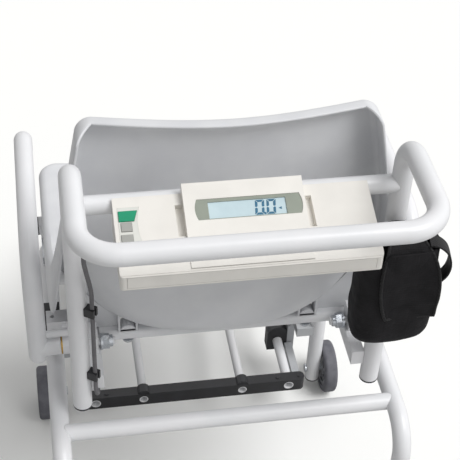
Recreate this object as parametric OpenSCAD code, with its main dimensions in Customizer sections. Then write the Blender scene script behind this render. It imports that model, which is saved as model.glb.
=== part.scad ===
/* [Push frame] */
// Outer diameter of the bent frame tubes
tube_d = 27; // [25:0.5:28]
// Wall of the bent frame tubes
tube_wall = 2; // [1.5:0.5:3]
// Upright tube axis from the middle plane
upright_x = 209; // [207:0.5:212]
// Lower end of the uprights above the floor
upright_foot_z = 458; // [450:1:462]
// Handle tube axis above the floor
handle_z = 892.5; // [885:0.5:900]
// Handle bar axis behind the uprights
handle_reach = 169; // [162:1:176]
// Bend of the handle bar's corners
handle_bend_r = 48; // [40:1:60]
// Bend between upright and handle arm
arm_bend_r = 40; // [36:1:46]
// Cross tube axis above the floor
cross_z = 823; // [820:0.5:826]
// Outer diameter of the cross tubes
cross_d = 25; // [22:0.5:26]

/* [Seat] */
// Underside of the seat pan above the floor
pan_z = 520; // [516:1:524]
// Half of the seat pan's width
pan_half = 243; // [240:1:246]
// Front edge of the seat pan
pan_front_y = 462; // [452:1:466]
// Top edge of the backrest above the floor
back_top_z = 905; // [895:1:906]
// Half of the backrest's width at its top
back_top_half = 190; // [184:1:194]
// Rear face of the backrest at its lower end
back_y = 37; // [35:0.5:40]
// Wall of the moulded shell
shell_t = 4; // [3:0.5:5]
// Forward curve of the backrest's sides
back_bow = 32; // [28:1:34]
// Rise of the pan's sides
pan_bow = 10; // [6:1:12]
// Bend between backrest and pan at the middle
bucket_r = 43; // [40:1:48]
// Bend between backrest and pan at the sides
bucket_side_r = 240; // [225:5:250]
// Sideways place of the seat shell
shell_x = -5; // [-8:1:0]
// Depth of the rim along the backrest's sides
rim_side_d = 40; // [36:1:44]
// Depth of the rim along the top and the pan
rim_d = 18; // [14:1:20]

/* [Seat frame] */
// Height of the seat frame's side bars
side_bar_h = 25; // [22:1:28]
// Thickness of the seat frame's side bars
side_bar_t = 18; // [16:1:20]
// Gap between side bars and pan
seat_gap = 5; // [4:0.5:7]
// Depth of the cross bars
beam_t = 25; // [22:1:28]
// Height of the cross bars
beam_h = 18; // [16:1:18]
// Armrest pivot axis in front of the uprights
pivot_y = 56; // [55:0.5:58]
// Armrest pivot axis above the floor
pivot_z = 521; // [520:0.5:522]
// Diameter of the pivot studs
pivot_bolt_d = 12; // [10:1:12]

/* [Armrests] */
// Armrest tube axis from the middle plane
armrest_x = 266; // [264:0.5:267]
// Armrest rail axis above the floor
armrest_z = 685; // [670:1:700]
// Front end of the armrest tube's bend
armrest_front_y = 359; // [350:1:364]
// Large bend of the armrest
armrest_bend_r = 68; // [60:1:74]
// Bend at the armrest's front end
armrest_tip_r = 34; // [30:1:40]

/* [Base] */
// Side frame tube axis from the middle plane
base_x = 243; // [242:0.5:244]
// Side rail axis above the floor
rail_z = 431; // [429:0.5:432]
// Front leg axis in front of the uprights
leg_front_y = 383; // [380:1:386]
// Rear leg axis behind the uprights
leg_rear_y = 95; // [90:1:98]
// Bend of the side frames
base_bend_r = 50; // [45:1:58]
// Rear leg's lower end above the floor
leg_rear_foot_z = 140; // [138:1:145]
// Front leg's lower end above the floor
leg_front_foot_z = 26; // [24:1:30]

/* [Wheels] */
// Front wheel diameter
wheel_d = 100; // [96:1:104]
// Front wheel width
wheel_w = 24; // [22:1:26]
// Front wheel axle diameter
axle_d = 12; // [10:1:12]
// Castor wheel diameter
castor_d = 100; // [96:1:104]
// Castor wheel width
castor_w = 24; // [22:1:26]
// Castor axle behind its swivel axis
castor_trail = 32; // [28:1:34]
// Castor axle diameter
castor_axle_d = 8; // [7:1:9]
// Castor swivel pin diameter
kingpin_d = 10; // [9:1:12]

/* [Load cells] */
// Load cell bar width
cell_w = 16; // [14:1:18]
// Load cell bar height
cell_h = 14; // [13:0.5:15]
// Load cell bar length
cell_l = 66; // [62:1:68]

/* [Footrest] */
// Slide tube diameter
slide_d = 18; // [16:1:20]
// Slide tube axis from the middle plane
slide_x = 178; // [176:1:180]
// Inner tube diameter
inner_d = 16; // [14:1:18]
// Inner tube axis from the middle plane
inner_x = 91; // [88:1:96]
// Slide tube axis above the floor
slide_z = 90; // [88:1:92]
// Rear face of the footrest's end bar
end_bar_y = 309; // [305:1:312]
// Footplate width
footplate_w = 400; // [380:2:404]
// Footplate depth
footplate_l = 210; // [190:1:220]
// Footplate front edge
footplate_front_y = 787.5; // [775:0.5:795]
// Footplate underside above the floor
footplate_z = 128; // [127:0.5:132]
// Guide block length
guide_l = 24; // [20:1:30]

/* [Console] */
// Half of the console's width
console_half = 160; // [158:1:162]
// Rear edge of the console's top, behind the uprights
console_rear_y = 112; // [111:0.5:113]
// Rear edge of the console's top above the floor
console_rear_z = 807; // [806:0.5:808]
// Front edge of the console's top, behind the uprights
console_front_y = 8; // [7:0.5:9]
// Front edge of the console's top above the floor
console_front_z = 838; // [838:0.5:839]
// Underside of the console above the floor
console_floor_z = 783; // [782:0.5:784]
// Wall of the console's mouldings
console_wall = 2.5; // [2:0.5:3]
// Half of the raised display housing's width
housing_half = 75; // [72:1:78]
// Front top edge of the display housing above the floor
housing_top_z = 852; // [850:0.5:853]
// Travel of the keys
key_travel = 0.8; // [0.5:0.1:1]

/* [Pouch] */
// Pouch width
pouch_w = 100; // [94:1:102]
// Pouch depth
pouch_d = 66; // [60:1:70]
// Pouch height
pouch_h = 168; // [158:1:174]

/* [Hidden] */
$fn = 48;

// Small clearances and overlaps
run_gap = 0.05;
slide_gap = 0.08;
play = 0.3;
sink = 0.5;

// The origin lies on the floor, midway between handle bar and footplate edge
tube_r = tube_d / 2;
origin_y = (handle_reach + tube_r - footplate_front_y) / 2;

// Load cells stand on spacers over the rails and carry the outriggers and the front beam
front_beam_y = 372;
front_beam_z = 452;
front_beam_x = 254;
outrigger_y = 132;
outrigger_x = 252;
spacer_h = 3;
cell_foot_z = rail_z + tube_r + spacer_h;
cell_top_z = cell_foot_z + cell_h;
cell_pad_h = 6;
cell_end_l = 24;
cell_bolt_d = 6;
cell_ys = [outrigger_y - 4, front_beam_y - cell_l];
outrigger_z = cell_top_z + cell_pad_h;

module in_frame() {
    translate([0, origin_y, 0]) children();
}

module both_sides() {
    for (s = [-1, 1]) scale_x(s) children();
}

module scale_x(s) {
    if (s < 0) mirror([1, 0, 0]) children();
    else children();
}

// Ring or disc profile of a tube, solid when its wall is zero
module tube_profile(d, wall) {
    difference() {
        circle(d = d);
        if (wall > 0) circle(d = d - 2 * wall);
    }
}

// Straight tube along one axis between two values
module tube_z(x, y, z1, z2, d = tube_d, wall = tube_wall) {
    translate([x, y, z1]) linear_extrude(z2 - z1) tube_profile(d, wall);
}

module tube_y(x, z, y1, y2, d = tube_d, wall = tube_wall) {
    translate([x, y2, z]) rotate([90, 0, 0]) linear_extrude(y2 - y1) tube_profile(d, wall);
}

module tube_x(y, z, x1, x2, d = tube_d, wall = tube_wall) {
    translate([x1, y, z]) rotate([90, 0, 90]) linear_extrude(x2 - x1) tube_profile(d, wall);
}

// Quarter bend about the Z axis from +X towards +Y, centre at the origin
module bend(r, d = tube_d, wall = tube_wall) {
    rotate_extrude(angle = 90) translate([r, 0]) tube_profile(d, wall);
}

// Profile in Y and Z, drawn out along X from x1 to x2
module along_x(x1, x2) {
    translate([x1, 0, 0]) rotate([90, 0, 90]) linear_extrude(x2 - x1) children();
}

module box(x1, x2, y1, y2, z1, z2) {
    translate([x1, y1, z1]) cube([x2 - x1, y2 - y1, z2 - z1]);
}

module rounded_rect(w, l, r) {
    union() {
        square([w - 2 * r, l], center = true);
        square([w, l - 2 * r], center = true);
        for (sx = [-1, 1], sy = [-1, 1])
            translate([sx * (w / 2 - r), sy * (l / 2 - r)]) circle(r);
    }
}

// Push frame: uprights, arms and handle bar bent from one tube
module push_frame() {
    color("whitesmoke") in_frame() {
        both_sides() half_push_frame();
    }
}

module half_push_frame() {
    arm_y = handle_reach - handle_bend_r;
    tube_z(upright_x, 0, upright_foot_z, handle_z - arm_bend_r);
    translate([upright_x, -arm_bend_r, handle_z - arm_bend_r])
        rotate([90, 0, 90]) bend(arm_bend_r);
    tube_y(upright_x, handle_z, -arm_y, -arm_bend_r);
    translate([upright_x - handle_bend_r, -arm_y, handle_z]) rotate([0, 0, -90]) bend(handle_bend_r);
    tube_x(-handle_reach, handle_z, 0, upright_x - handle_bend_r);
}

module cross_tube() {
    color("whitesmoke") in_frame() difference() {
        tube_x(0, cross_z, -upright_x, upright_x, cross_d);
        both_sides() {
            cylinder_z(upright_x, 0, cross_z - tube_d, cross_z + tube_d, tube_d);
            cylinder_z(clamp_x, tube_screw_y, cross_z - cross_d, cross_z, clamp_screw_d);
        }
    }
}

module cylinder_z(x, y, z1, z2, d) {
    translate([x, y, z1]) cylinder(d = d, h = z2 - z1);
}

module cylinder_y(x, z, y1, y2, d) {
    translate([x, y2, z]) rotate([90, 0, 0]) cylinder(d = d, h = y2 - y1);
}

module cylinder_x(y, z, x1, x2, d) {
    translate([x1, y, z]) rotate([0, 90, 0]) cylinder(d = d, h = x2 - x1);
}

// Plugs that close the uprights and the front legs from below
plug_d = tube_d - 2 * tube_wall;
plug_head = 3;
plug_h = 22;

module tube_plug(x, y, z) {
    cylinder_z(x, y, z - plug_head, z, tube_d);
    cylinder_z(x, y, z, z + plug_h, plug_d);
}

module tube_plugs() {
    color("#202022") in_frame() both_sides() {
        tube_plug(upright_x, 0, upright_foot_z);
        difference() {
            tube_plug(base_x, leg_front_y, leg_front_foot_z);
            cylinder_x(leg_front_y, axle_z, base_x - tube_d, base_x + tube_d, axle_d + 2 * run_gap);
        }
    }
}

// Seat shell: rows run down the backrest, round the bend and forward over the pan
fillet_in = 8;
fillet_out = fillet_in + shell_t;
top_corner_r = 20;
front_corner_r = 30;
widening_z = 530;
taper = 1.35;
back_lean = 0.045;
bucket_power = 3.2;
rim_bend_d = 70;
rim_bend_angle = 50;
row_turns = [90, 67.5, 45, 22.5, 0];
back_rows = 6;
bend_rows = 8;
pan_rows = 4;
cols = 21;
rows = 2 * len(row_turns) + back_rows + bend_rows + pan_rows - 1;

function half_width(z) =
    pan_half - (pan_half - back_top_half)
    * pow(max(0, (z - widening_z) / (back_top_z - widening_z)), taper);

function bucket_radius(q) = bucket_r + (bucket_side_r - bucket_r) * pow(abs(q), bucket_power);

// Rear face of the backrest at height z and share q of the half width
function back_face(z, q) =
    back_y + back_bow * q * q + back_lean * max(0, z - pan_z - pan_bow * q * q - bucket_radius(q));

function pan_under(q) = pan_z + pan_bow * q * q;

first_bend = len(row_turns) + back_rows;
first_pan = first_bend + bend_rows;
first_front = first_pan + pan_rows;

// Stage of a row: 0 top corner, 1 backrest, 2 bend, 3 pan, 4 front corner
function stage(i) =
    i < len(row_turns) ? 0 : i < first_bend ? 1 : i < first_pan ? 2 : i < first_front ? 3 : 4;

function front_turn(i) = 22.5 * (i - first_front + 1);
function bend_angle(i) = 90 * (i - first_bend + 1) / bend_rows;

// Side view of the shell's rear face, as [y, z, inward y, inward z]
function side_view(i, q) =
    let (
        s = stage(i),
        r = bucket_radius(q),
        base = pan_under(q),
        top_r = top_corner_r - fillet_out,
        front_r = front_corner_r - fillet_out,
        top = back_top_z - fillet_out,
        front = pan_front_y - fillet_out,
        y0 = back_face(0, q)
    )
    s == 0 ? let (z = top - top_r * (1 - sin(row_turns[i]))) [back_face(z, q), z, 1, 0] :
    s == 1 ? let (
        g = (i - len(row_turns) + 1) / back_rows,
        z = (top - top_r) * (1 - g) + (base + r) * g
    ) [back_face(z, q), z, 1, 0] :
    s == 2 ? let (a = bend_angle(i)) [y0 + r - r * cos(a), base + r - r * sin(a), cos(a), sin(a)] :
    s == 3 ? let (g = (i - first_pan + 1) / pan_rows)
        [(y0 + r) * (1 - g) + (front - front_r) * g, base, 0, 1] :
    [front - front_r * (1 - sin(front_turn(i))), base, 0, 1];

function corner_cut(i) =
    stage(i) == 0 ? (top_corner_r - fillet_out) * (1 - cos(row_turns[i])) :
    stage(i) == 4 ? (front_corner_r - fillet_out) * (1 - cos(front_turn(i))) : 0;

function sheet_x(i, q) = q * (half_width(side_view(i, q)[1]) - fillet_out - corner_cut(i));

function sheet_point(i, j, offset) =
    let (q = 2 * j / (cols - 1) - 1, v = side_view(i, q))
    [sheet_x(i, q), v[0] + v[2] * offset, v[1] + v[3] * offset];

// Places on the sheet's edge, in order round it
edge = concat(
    [for (j = [0 : cols - 1]) [0, j]],
    [for (i = [1 : rows - 1]) [i, cols - 1]],
    [for (j = [cols - 2 : -1 : 0]) [rows - 1, j]],
    [for (i = [rows - 2 : -1 : 1]) [i, 0]]
);

// Outward direction in the sheet at an edge place
function outward(p) =
    let (
        i = p[0],
        s = p[1] == 0 ? -1 : p[1] == cols - 1 ? 1 : 0,
        a = stage(i) == 0 ? row_turns[i] : stage(i) == 4 ? front_turn(i) : 0
    )
    stage(i) == 0 ? (s == 0 ? [0, 0, 1] : [s * cos(a), 0, sin(a)]) :
    stage(i) == 4 ? (s == 0 ? [0, 1, 0] : [s * cos(a), sin(a), 0]) :
    [s, 0, 0];

// Rim depth along the edge, deepest at the bend's lower quarter
function rim_depth(p) =
    let (i = p[0], s = stage(i), g = bend_angle(i))
    s == 0 ? rim_d + (rim_side_d - rim_d) * cos(row_turns[i]) :
    s == 1 ? rim_side_d :
    s == 2 ? (g < rim_bend_angle
        ? rim_side_d + (rim_bend_d - rim_side_d) * pow(sin(90 * g / rim_bend_angle), 2)
        : rim_d + (rim_bend_d - rim_d) * pow(cos(90 * (g - rim_bend_angle) / (90 - rim_bend_angle)), 2)) :
    rim_d;

function rim_point(p, r, start, ring) =
    let (
        v = side_view(p[0], 2 * p[1] / (cols - 1) - 1),
        n = [0, v[2], v[3]],
        c = sheet_point(p[0], p[1], start),
        e = outward(p),
        depth = rim_depth(p) + start
    )
    ring == 1 ? c + e * r * sin(45) - n * r * (1 - cos(45)) :
    ring == 2 ? c + (e - n) * r :
    c + e * r - n * depth;

rings = 3;
sheet_count = rows * cols;
side_count = sheet_count + rings * len(edge);

function side_points(offset, r) = concat(
    [for (i = [0 : rows - 1], j = [0 : cols - 1]) sheet_point(i, j, offset)],
    [for (ring = [1 : rings], p = edge) rim_point(p, r, offset, ring)]
);

function flipped(faces, flip) = flip ? [for (f = faces) [f[0], f[2], f[1]]] : faces;

function ring_index(ring, k, base) =
    let (n = len(edge), m = k % n)
    ring == 0 ? base + edge[m][0] * cols + edge[m][1] : base + sheet_count + (ring - 1) * n + m;

function side_faces(base, flip) = flipped(concat(
    [for (i = [0 : rows - 2], j = [0 : cols - 2]) let (a = base + i * cols + j)
        each [[a, a + cols + 1, a + 1], [a, a + cols, a + cols + 1]]],
    [for (ring = [0 : rings - 1], k = [0 : len(edge) - 1]) let (
        a = ring_index(ring, k, base),
        b = ring_index(ring, k + 1, base),
        c = ring_index(ring + 1, k + 1, base),
        d = ring_index(ring + 1, k, base)
    ) each [[a, b, c], [a, c, d]]]
), flip);

rim_faces = [for (k = [0 : len(edge) - 1]) let (
    a = ring_index(rings, k, 0),
    b = ring_index(rings, k + 1, 0),
    c = ring_index(rings, k + 1, side_count),
    d = ring_index(rings, k, side_count)
) each [[a, b, c], [a, c, d]]];

module shell_sheet() {
    polyhedron(
        points = concat(side_points(shell_t, fillet_out), side_points(0, fillet_in)),
        faces = concat(side_faces(0, false), side_faces(side_count, true), rim_faces),
        convexity = 8
    );
}

// Underside of the shell at place x, y, half way through its wall
function under_z(x, y) =
    let (
        q = abs(x) / (pan_half - fillet_out),
        r = bucket_radius(q),
        c = back_face(0, q) + r,
        inner = r - shell_t / 2
    )
    y >= c ? pan_under(q) + shell_t / 2
    : pan_under(q) + r - sqrt(max(0, inner * inner - (c - y) * (c - y)));

beam_y = 70;
rib_xs = [119, 144];
seat_bolt_x = (rib_xs[0] + rib_xs[1]) / 2;
seat_bolt_y = beam_y + 9;
rib_t = 3;
rib_steps = 5;
front_pad_y = 350;
side_bar_x = upright_x - tube_r - side_bar_t;
side_bar_mid = side_bar_x + side_bar_t / 2;
side_bar_top = pan_z - seat_gap;
side_bar_foot = side_bar_top - side_bar_h;
skirt_end_x = 205;
skirt_y = beam_y + 15;
pad_x = 95;
pad_z = 773;
pad_d = 30;
pad_face_y = back_y + 1;

// Upright rib under the shell, standing on the rear cross bar
module shell_rib(x) {
    ys = [for (k = [0 : rib_steps]) beam_y + 2 + (beam_t - 4) * k / rib_steps];
    along_x(x - rib_t / 2, x + rib_t / 2) polygon(concat(
        [[ys[0], pan_z]],
        [for (y = ys) [y, under_z(x, y)]],
        [[ys[rib_steps], pan_z]]
    ));
}

// Wall that closes the shell's underside outside the ribs
module shell_skirt() {
    xs = [for (k = [0 : rib_steps]) rib_xs[1] + (skirt_end_x - rib_xs[1]) * k / rib_steps];
    translate([0, skirt_y + rib_t, 0]) rotate([90, 0, 0]) linear_extrude(rib_t) polygon(concat(
        [[xs[0], pan_z]],
        [for (x = xs) [x, under_z(x, skirt_y + rib_t / 2)]],
        [[xs[rib_steps], pan_z]]
    ));
}

// Arched saddle between the two ribs, over the seat bolt
module rib_saddle() {
    box(rib_xs[0], rib_xs[1], seat_bolt_y - 6, seat_bolt_y + 12, pan_z, pan_z + 3);
    intersection() {
        cylinder_y(seat_bolt_x, pan_z, seat_bolt_y - 6, seat_bolt_y + 12, rib_xs[1] - rib_xs[0] - rib_t);
        box(rib_xs[0], rib_xs[1], seat_bolt_y - 6, seat_bolt_y + 12, pan_z, pan_z + 20);
    }
}

module seat_shell() {
    boss_d = 20;
    color("#c8c9cb") in_frame() difference() {
        union() {
            translate([shell_x, 0, 0]) {
                shell_sheet();
                both_sides() {
                    for (x = rib_xs) shell_rib(x);
                    rib_saddle();
                    shell_skirt();
                    cylinder_y(pad_x, pad_z, pad_face_y,
                        back_face(pad_z, pad_x / half_width(pad_z)) + shell_t / 2, pad_d);
                }
            }
            for (s = [-1, 1])
                cylinder_z(s * side_bar_mid, front_pad_y, side_bar_top,
                    under_z(side_bar_mid - s * shell_x - boss_d / 2, front_pad_y + boss_d / 2), boss_d);
        }
        translate([shell_x, 0, 0]) both_sides() {
            cylinder_z(seat_bolt_x, seat_bolt_y, pan_z - 1, pan_z + bolt_bite, seat_bolt_d);
            for (dz = [-8, 8])
                cylinder_y(pad_x, pad_z + dz, pad_face_y - 1, pad_face_y + bolt_bite, bracket_bolt_d);
        }
        both_sides()
            cylinder_z(side_bar_mid, front_pad_y, side_bar_top - 1, side_bar_top + bolt_bite, seat_bolt_d);
    }
}

// Brackets that hold the backrest to the cross tube
bracket_w = 28;
bracket_h = 30;
bracket_t = 3;
seat_bolt_d = 8;
seat_head_d = 18;
seat_head_h = 8;
bracket_bolt_d = 4;
bolt_bite = 6;

// Cheek of a bracket, seen from the side, between the tube's underside and the pad
module bracket_cheek() {
    polygon([
        [0, cross_z - cross_d / 2 - 8],
        [0, cross_z - 4],
        [cross_d / 2 + 1, cross_z - 4],
        [pad_face_y, pad_z + bracket_h / 2],
        [pad_face_y, pad_z - bracket_h / 2]
    ]);
}

module back_brackets() {
    color("#d9d9da") in_frame() translate([shell_x, 0, 0]) both_sides() difference() {
        union() {
            box(pad_x - bracket_w / 2, pad_x + bracket_w / 2, pad_face_y - bracket_t, pad_face_y,
                pad_z - bracket_h / 2, pad_z + bracket_h / 2);
            for (x = [pad_x - bracket_w / 2, pad_x + bracket_w / 2 - bracket_t])
                along_x(x, x + bracket_t) bracket_cheek();
        }
        cylinder_x(0, cross_z, pad_x - bracket_w, pad_x + bracket_w, cross_d);
        for (dz = [-8, 8])
            cylinder_y(pad_x, pad_z + dz, pad_face_y - 2 * bracket_t, pad_face_y + 1, bracket_bolt_d);
    }
}

// Seat frame: side bars, pivot ears, hubs and stop lugs welded to the uprights
hub_end_x = 231;
ear_h = 30;
lug_t = 10;
lug_z = 525;
lug_top_z = 552;

module seat_frame() {
    color("#e4e4e6") in_frame() both_sides() difference() {
        union() {
            box(side_bar_x, side_bar_x + side_bar_t, -4, leg_front_y + 17, side_bar_foot, side_bar_top);
            box(side_bar_x + 4, side_bar_x + side_bar_t + 2, pivot_y - 18, pivot_y + 16,
                side_bar_top, side_bar_top + ear_h);
            cylinder_x(pivot_y, pivot_z, side_bar_x + side_bar_t, hub_end_x, tube_d);
            box(hub_end_x - lug_t, hub_end_x, stop_bar_front, stop_bar_front + 6, lug_z, lug_top_z);
        }
        cylinder_x(pivot_y, pivot_z, side_bar_x - 1, hub_end_x + 1, pivot_bolt_d + 2 * run_gap);
        cylinder_z(side_bar_mid, front_pad_y, side_bar_foot - 1, side_bar_top + 1, seat_bolt_d);
    }
}

// Cross bars of the seat frame: rear beam, front beam with risers and rear outriggers
beam_round = 7.5;

module seat_cross_bars() {
    color("#e4e4e6") in_frame() {
        difference() {
            along_x(-side_bar_x, side_bar_x) translate([beam_y + beam_t / 2, pan_z - beam_h / 2])
                rounded_rect(beam_t, beam_h, beam_round);
            translate([shell_x, 0, 0]) both_sides()
                cylinder_z(seat_bolt_x, seat_bolt_y, pan_z - beam_h - 1, pan_z + 1, seat_bolt_d);
        }
        box(-front_beam_x, front_beam_x, front_beam_y, front_beam_y + beam_t,
            front_beam_z, front_beam_z + beam_h);
        both_sides() {
            box(side_bar_x, side_bar_x + side_bar_t, front_beam_y, front_beam_y + beam_t,
                front_beam_z + beam_h, side_bar_foot);
            difference() {
                box(side_bar_x, outrigger_x, outrigger_y, outrigger_y + beam_t, outrigger_z, side_bar_foot);
                cylinder_z(base_x, outrigger_y + beam_t / 2, outrigger_z - 1, side_bar_foot + 1, cell_bolt_d);
            }
            box(base_x - cell_w / 2, base_x + cell_w / 2, front_beam_y - beam_t, front_beam_y,
                outrigger_z, outrigger_z + 4);
        }
    }
}

cap_t = 2.5;

module bar_end_caps() {
    color("#202022") in_frame() both_sides() {
        box(front_beam_x, front_beam_x + cap_t, front_beam_y, front_beam_y + beam_t,
            front_beam_z, front_beam_z + beam_h);
        box(outrigger_x, outrigger_x + cap_t, outrigger_y, outrigger_y + beam_t,
            outrigger_z, side_bar_foot);
    }
}

// Round head bolts of the seat and of the backrest brackets
module dome_bolt(d, head_d, head_h, shank) {
    rotate_extrude() {
        square([d / 2, shank]);
        intersection() {
            circle(d = head_d);
            translate([0, -head_h]) square([head_d / 2, head_h]);
        }
    }
}

module seat_bolts() {
    color("#b9bdc2") in_frame() {
        translate([shell_x, 0, 0]) both_sides() {
            translate([seat_bolt_x, seat_bolt_y, pan_z - beam_h])
                dome_bolt(seat_bolt_d - 2 * run_gap, seat_head_d, seat_head_h, beam_h + bolt_bite - 1);
            for (dz = [-8, 8])
                translate([pad_x, pad_face_y - bracket_t, pad_z + dz]) rotate([-90, 0, 0])
                    dome_bolt(bracket_bolt_d - 2 * run_gap, 8, 3, bracket_t + bolt_bite - 1);
        }
        both_sides() translate([side_bar_mid, front_pad_y, side_bar_foot])
            dome_bolt(seat_bolt_d - 2 * run_gap, seat_head_d, seat_head_h, side_bar_h + bolt_bite - 1);
    }
}

// Armrest: hub, bent tube, stop bar and pivot stud welded together
washer_t = 2;
armrest_hub_x = hub_end_x + washer_t + 2 * play;
armrest_foot_z = 493 + tube_r;
stop_bar_z = 545;
stop_bar_d = 10;
stop_bar_front = pivot_y + stop_bar_d / 2 + play;

module armrest() {
    rail_end = armrest_front_y - tube_r - armrest_tip_r;
    difference() {
        cylinder_x(pivot_y, pivot_z, armrest_hub_x, armrest_x, tube_d);
        cylinder_z(armrest_x, pivot_y, pivot_z - tube_d, pivot_z + tube_d, tube_d - 2 * tube_wall);
    }
    cylinder_x(pivot_y, pivot_z, pivot_nut_x - 3, armrest_hub_x + sink, pivot_bolt_d);
    tube_z(armrest_x, pivot_y, armrest_foot_z, armrest_z - armrest_bend_r);
    tube_dome(armrest_x, pivot_y, armrest_foot_z);
    translate([armrest_x, pivot_y + armrest_bend_r, armrest_z - armrest_bend_r])
        rotate([90, 0, -90]) bend(armrest_bend_r);
    tube_y(armrest_x, armrest_z, pivot_y + armrest_bend_r, rail_end);
    translate([armrest_x, rail_end, armrest_z - armrest_tip_r]) rotate([90, 0, 90]) bend(armrest_tip_r);
    tube_dome(armrest_x, rail_end + armrest_tip_r, armrest_z - armrest_tip_r);
    cylinder_x(pivot_y, stop_bar_z, hub_end_x - lug_t, armrest_x - tube_r + sink, stop_bar_d);
}

// Round end of a tube that points down
module tube_dome(x, y, z) {
    translate([x, y, z]) rotate_extrude() intersection() {
        difference() {
            circle(d = tube_d);
            circle(d = tube_d - 2 * tube_wall);
        }
        translate([0, -tube_r]) square([tube_r, tube_r]);
    }
}

module armrest_left() {
    color("whitesmoke") in_frame() mirror([1, 0, 0]) armrest();
}

module armrest_right() {
    color("whitesmoke") in_frame() armrest();
}

// Lock nuts on the armrests' studs, inside the seat frame
nut_d = 20;
nut_h = 17;
nut_washer_d = 24;
nut_washer_t = 3;
nut_collar_h = 5;
pivot_nut_x = side_bar_x - play - nut_h;

module pivot_washers() {
    color("#b08d3c") in_frame() both_sides() difference() {
        cylinder_x(pivot_y, pivot_z, hub_end_x, hub_end_x + washer_t, tube_d - 1);
        cylinder_x(pivot_y, pivot_z, hub_end_x - 1, hub_end_x + washer_t + 1, pivot_bolt_d + 2 * run_gap);
    }
}

module pivot_nut() {
    difference() {
        union() {
            translate([pivot_nut_x + nut_collar_h, pivot_y, pivot_z]) rotate([0, 90, 0])
                cylinder(d = nut_d / cos(30), h = nut_h - nut_collar_h, $fn = 6);
            cylinder_x(pivot_y, pivot_z, pivot_nut_x, pivot_nut_x + nut_collar_h, nut_d - 3);
            cylinder_x(pivot_y, pivot_z, side_bar_x - play - nut_washer_t, side_bar_x - play, nut_washer_d);
        }
        cylinder_x(pivot_y, pivot_z, pivot_nut_x - 1, side_bar_x + 1, pivot_bolt_d);
    }
}

module pivot_nut_left() {
    color("#b9bdc2") in_frame() mirror([1, 0, 0]) pivot_nut();
}

module pivot_nut_right() {
    color("#b9bdc2") in_frame() pivot_nut();
}

// Side frame of the base, with the spacer plates of the load cells welded on its rail

module side_frame() {
    axle_bore = axle_d + 2 * run_gap;
    difference() {
        union() {
            tube_z(base_x, -leg_rear_y, leg_rear_foot_z, rail_z - base_bend_r);
            translate([base_x, base_bend_r - leg_rear_y, rail_z - base_bend_r])
                rotate([90, 0, -90]) bend(base_bend_r);
            tube_y(base_x, rail_z, base_bend_r - leg_rear_y, leg_front_y - base_bend_r);
            translate([base_x, leg_front_y - base_bend_r, rail_z - base_bend_r])
                rotate([90, 0, 90]) bend(base_bend_r);
            tube_z(base_x, leg_front_y, leg_front_foot_z, rail_z - base_bend_r);
            for (k = [0, 1]) difference() {
                box(base_x - cell_w / 2, base_x + cell_w / 2, cell_fixed_y(k) - cell_end_l / 2,
                    cell_fixed_y(k) + cell_end_l / 2, rail_z, cell_foot_z);
                cylinder_y(base_x, rail_z, cell_ys[0] - cell_l, leg_front_y + cell_l, tube_d);
            }
        }
        cylinder_x(leg_front_y, axle_z, base_x - tube_d, base_x + tube_d, axle_bore);
    }
}

// The fixed end of the rear cell points forward, that of the front cell backward
function cell_fixed_y(k) = k == 0 ? cell_ys[0] + cell_l - cell_end_l / 2 : cell_ys[1] + cell_end_l / 2;
function cell_live_y(k) = k == 0 ? outrigger_y + beam_t / 2 : front_beam_y - cell_end_l / 2;

module side_frame_left() {
    color("whitesmoke") in_frame() mirror([1, 0, 0]) side_frame();
}

module side_frame_right() {
    color("whitesmoke") in_frame() side_frame();
}

// Cross tubes of the base: between the rear legs and between the rails
low_tube_z = 215;
rail_tube_ys = [-30, 290];

module base_cross_tubes() {
    color("whitesmoke") in_frame() {
        coped_tube(-leg_rear_y, low_tube_z);
        for (y = rail_tube_ys) coped_tube(y, rail_z);
    }
}

module coped_tube(y, z) {
    difference() {
        tube_x(y, z, -base_x, base_x, cross_d);
        both_sides() {
            if (z == rail_z) cylinder_y(base_x, rail_z, y - tube_d, y + tube_d, tube_d);
            else cylinder_z(base_x, y, z - tube_d, z + tube_d, tube_d);
        }
    }
}

// Load cells: bars with a bored waist, fixed at one end and loaded at the other
module load_cells() {
    color("#c9ccd0") in_frame() both_sides() for (k = [0, 1]) {
        mid = cell_ys[k] + cell_l / 2;
        difference() {
            box(base_x - cell_w / 2, base_x + cell_w / 2, cell_ys[k], cell_ys[k] + cell_l,
                cell_foot_z, cell_top_z);
            for (dy = [-4, 4])
                cylinder_x(mid + dy, cell_foot_z + cell_h / 2, base_x - cell_w, base_x + cell_w, 9);
            for (y = [cell_fixed_y(k), cell_live_y(k)])
                cylinder_z(base_x, y, cell_foot_z - 1, cell_top_z + 1, cell_bolt_d);
        }
        difference() {
            box(base_x - cell_w / 2, base_x + cell_w / 2, cell_live_y(k) - cell_end_l / 2,
                cell_live_y(k) + cell_end_l / 2, cell_top_z, cell_top_z + cell_pad_h);
            cylinder_z(base_x, cell_live_y(k), cell_top_z - 1, cell_top_z + cell_pad_h + 1, cell_bolt_d);
        }
    }
}

module load_cell_bolts() {
    color("#b9bdc2") in_frame() both_sides() for (k = [0, 1]) {
        translate([base_x, cell_fixed_y(k), cell_top_z]) rotate([180, 0, 0])
            dome_bolt(cell_bolt_d - 2 * run_gap, 10, 3, cell_h);
        translate([base_x, cell_live_y(k), cell_foot_z + 1])
            cylinder(d = cell_bolt_d - 2 * run_gap, h = cell_h + cell_pad_h - 2);
    }
}

// Covers over the rear cells, open below and slotted for the loaded end
cover_wall = 2;
cover_gap = 2;

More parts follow.
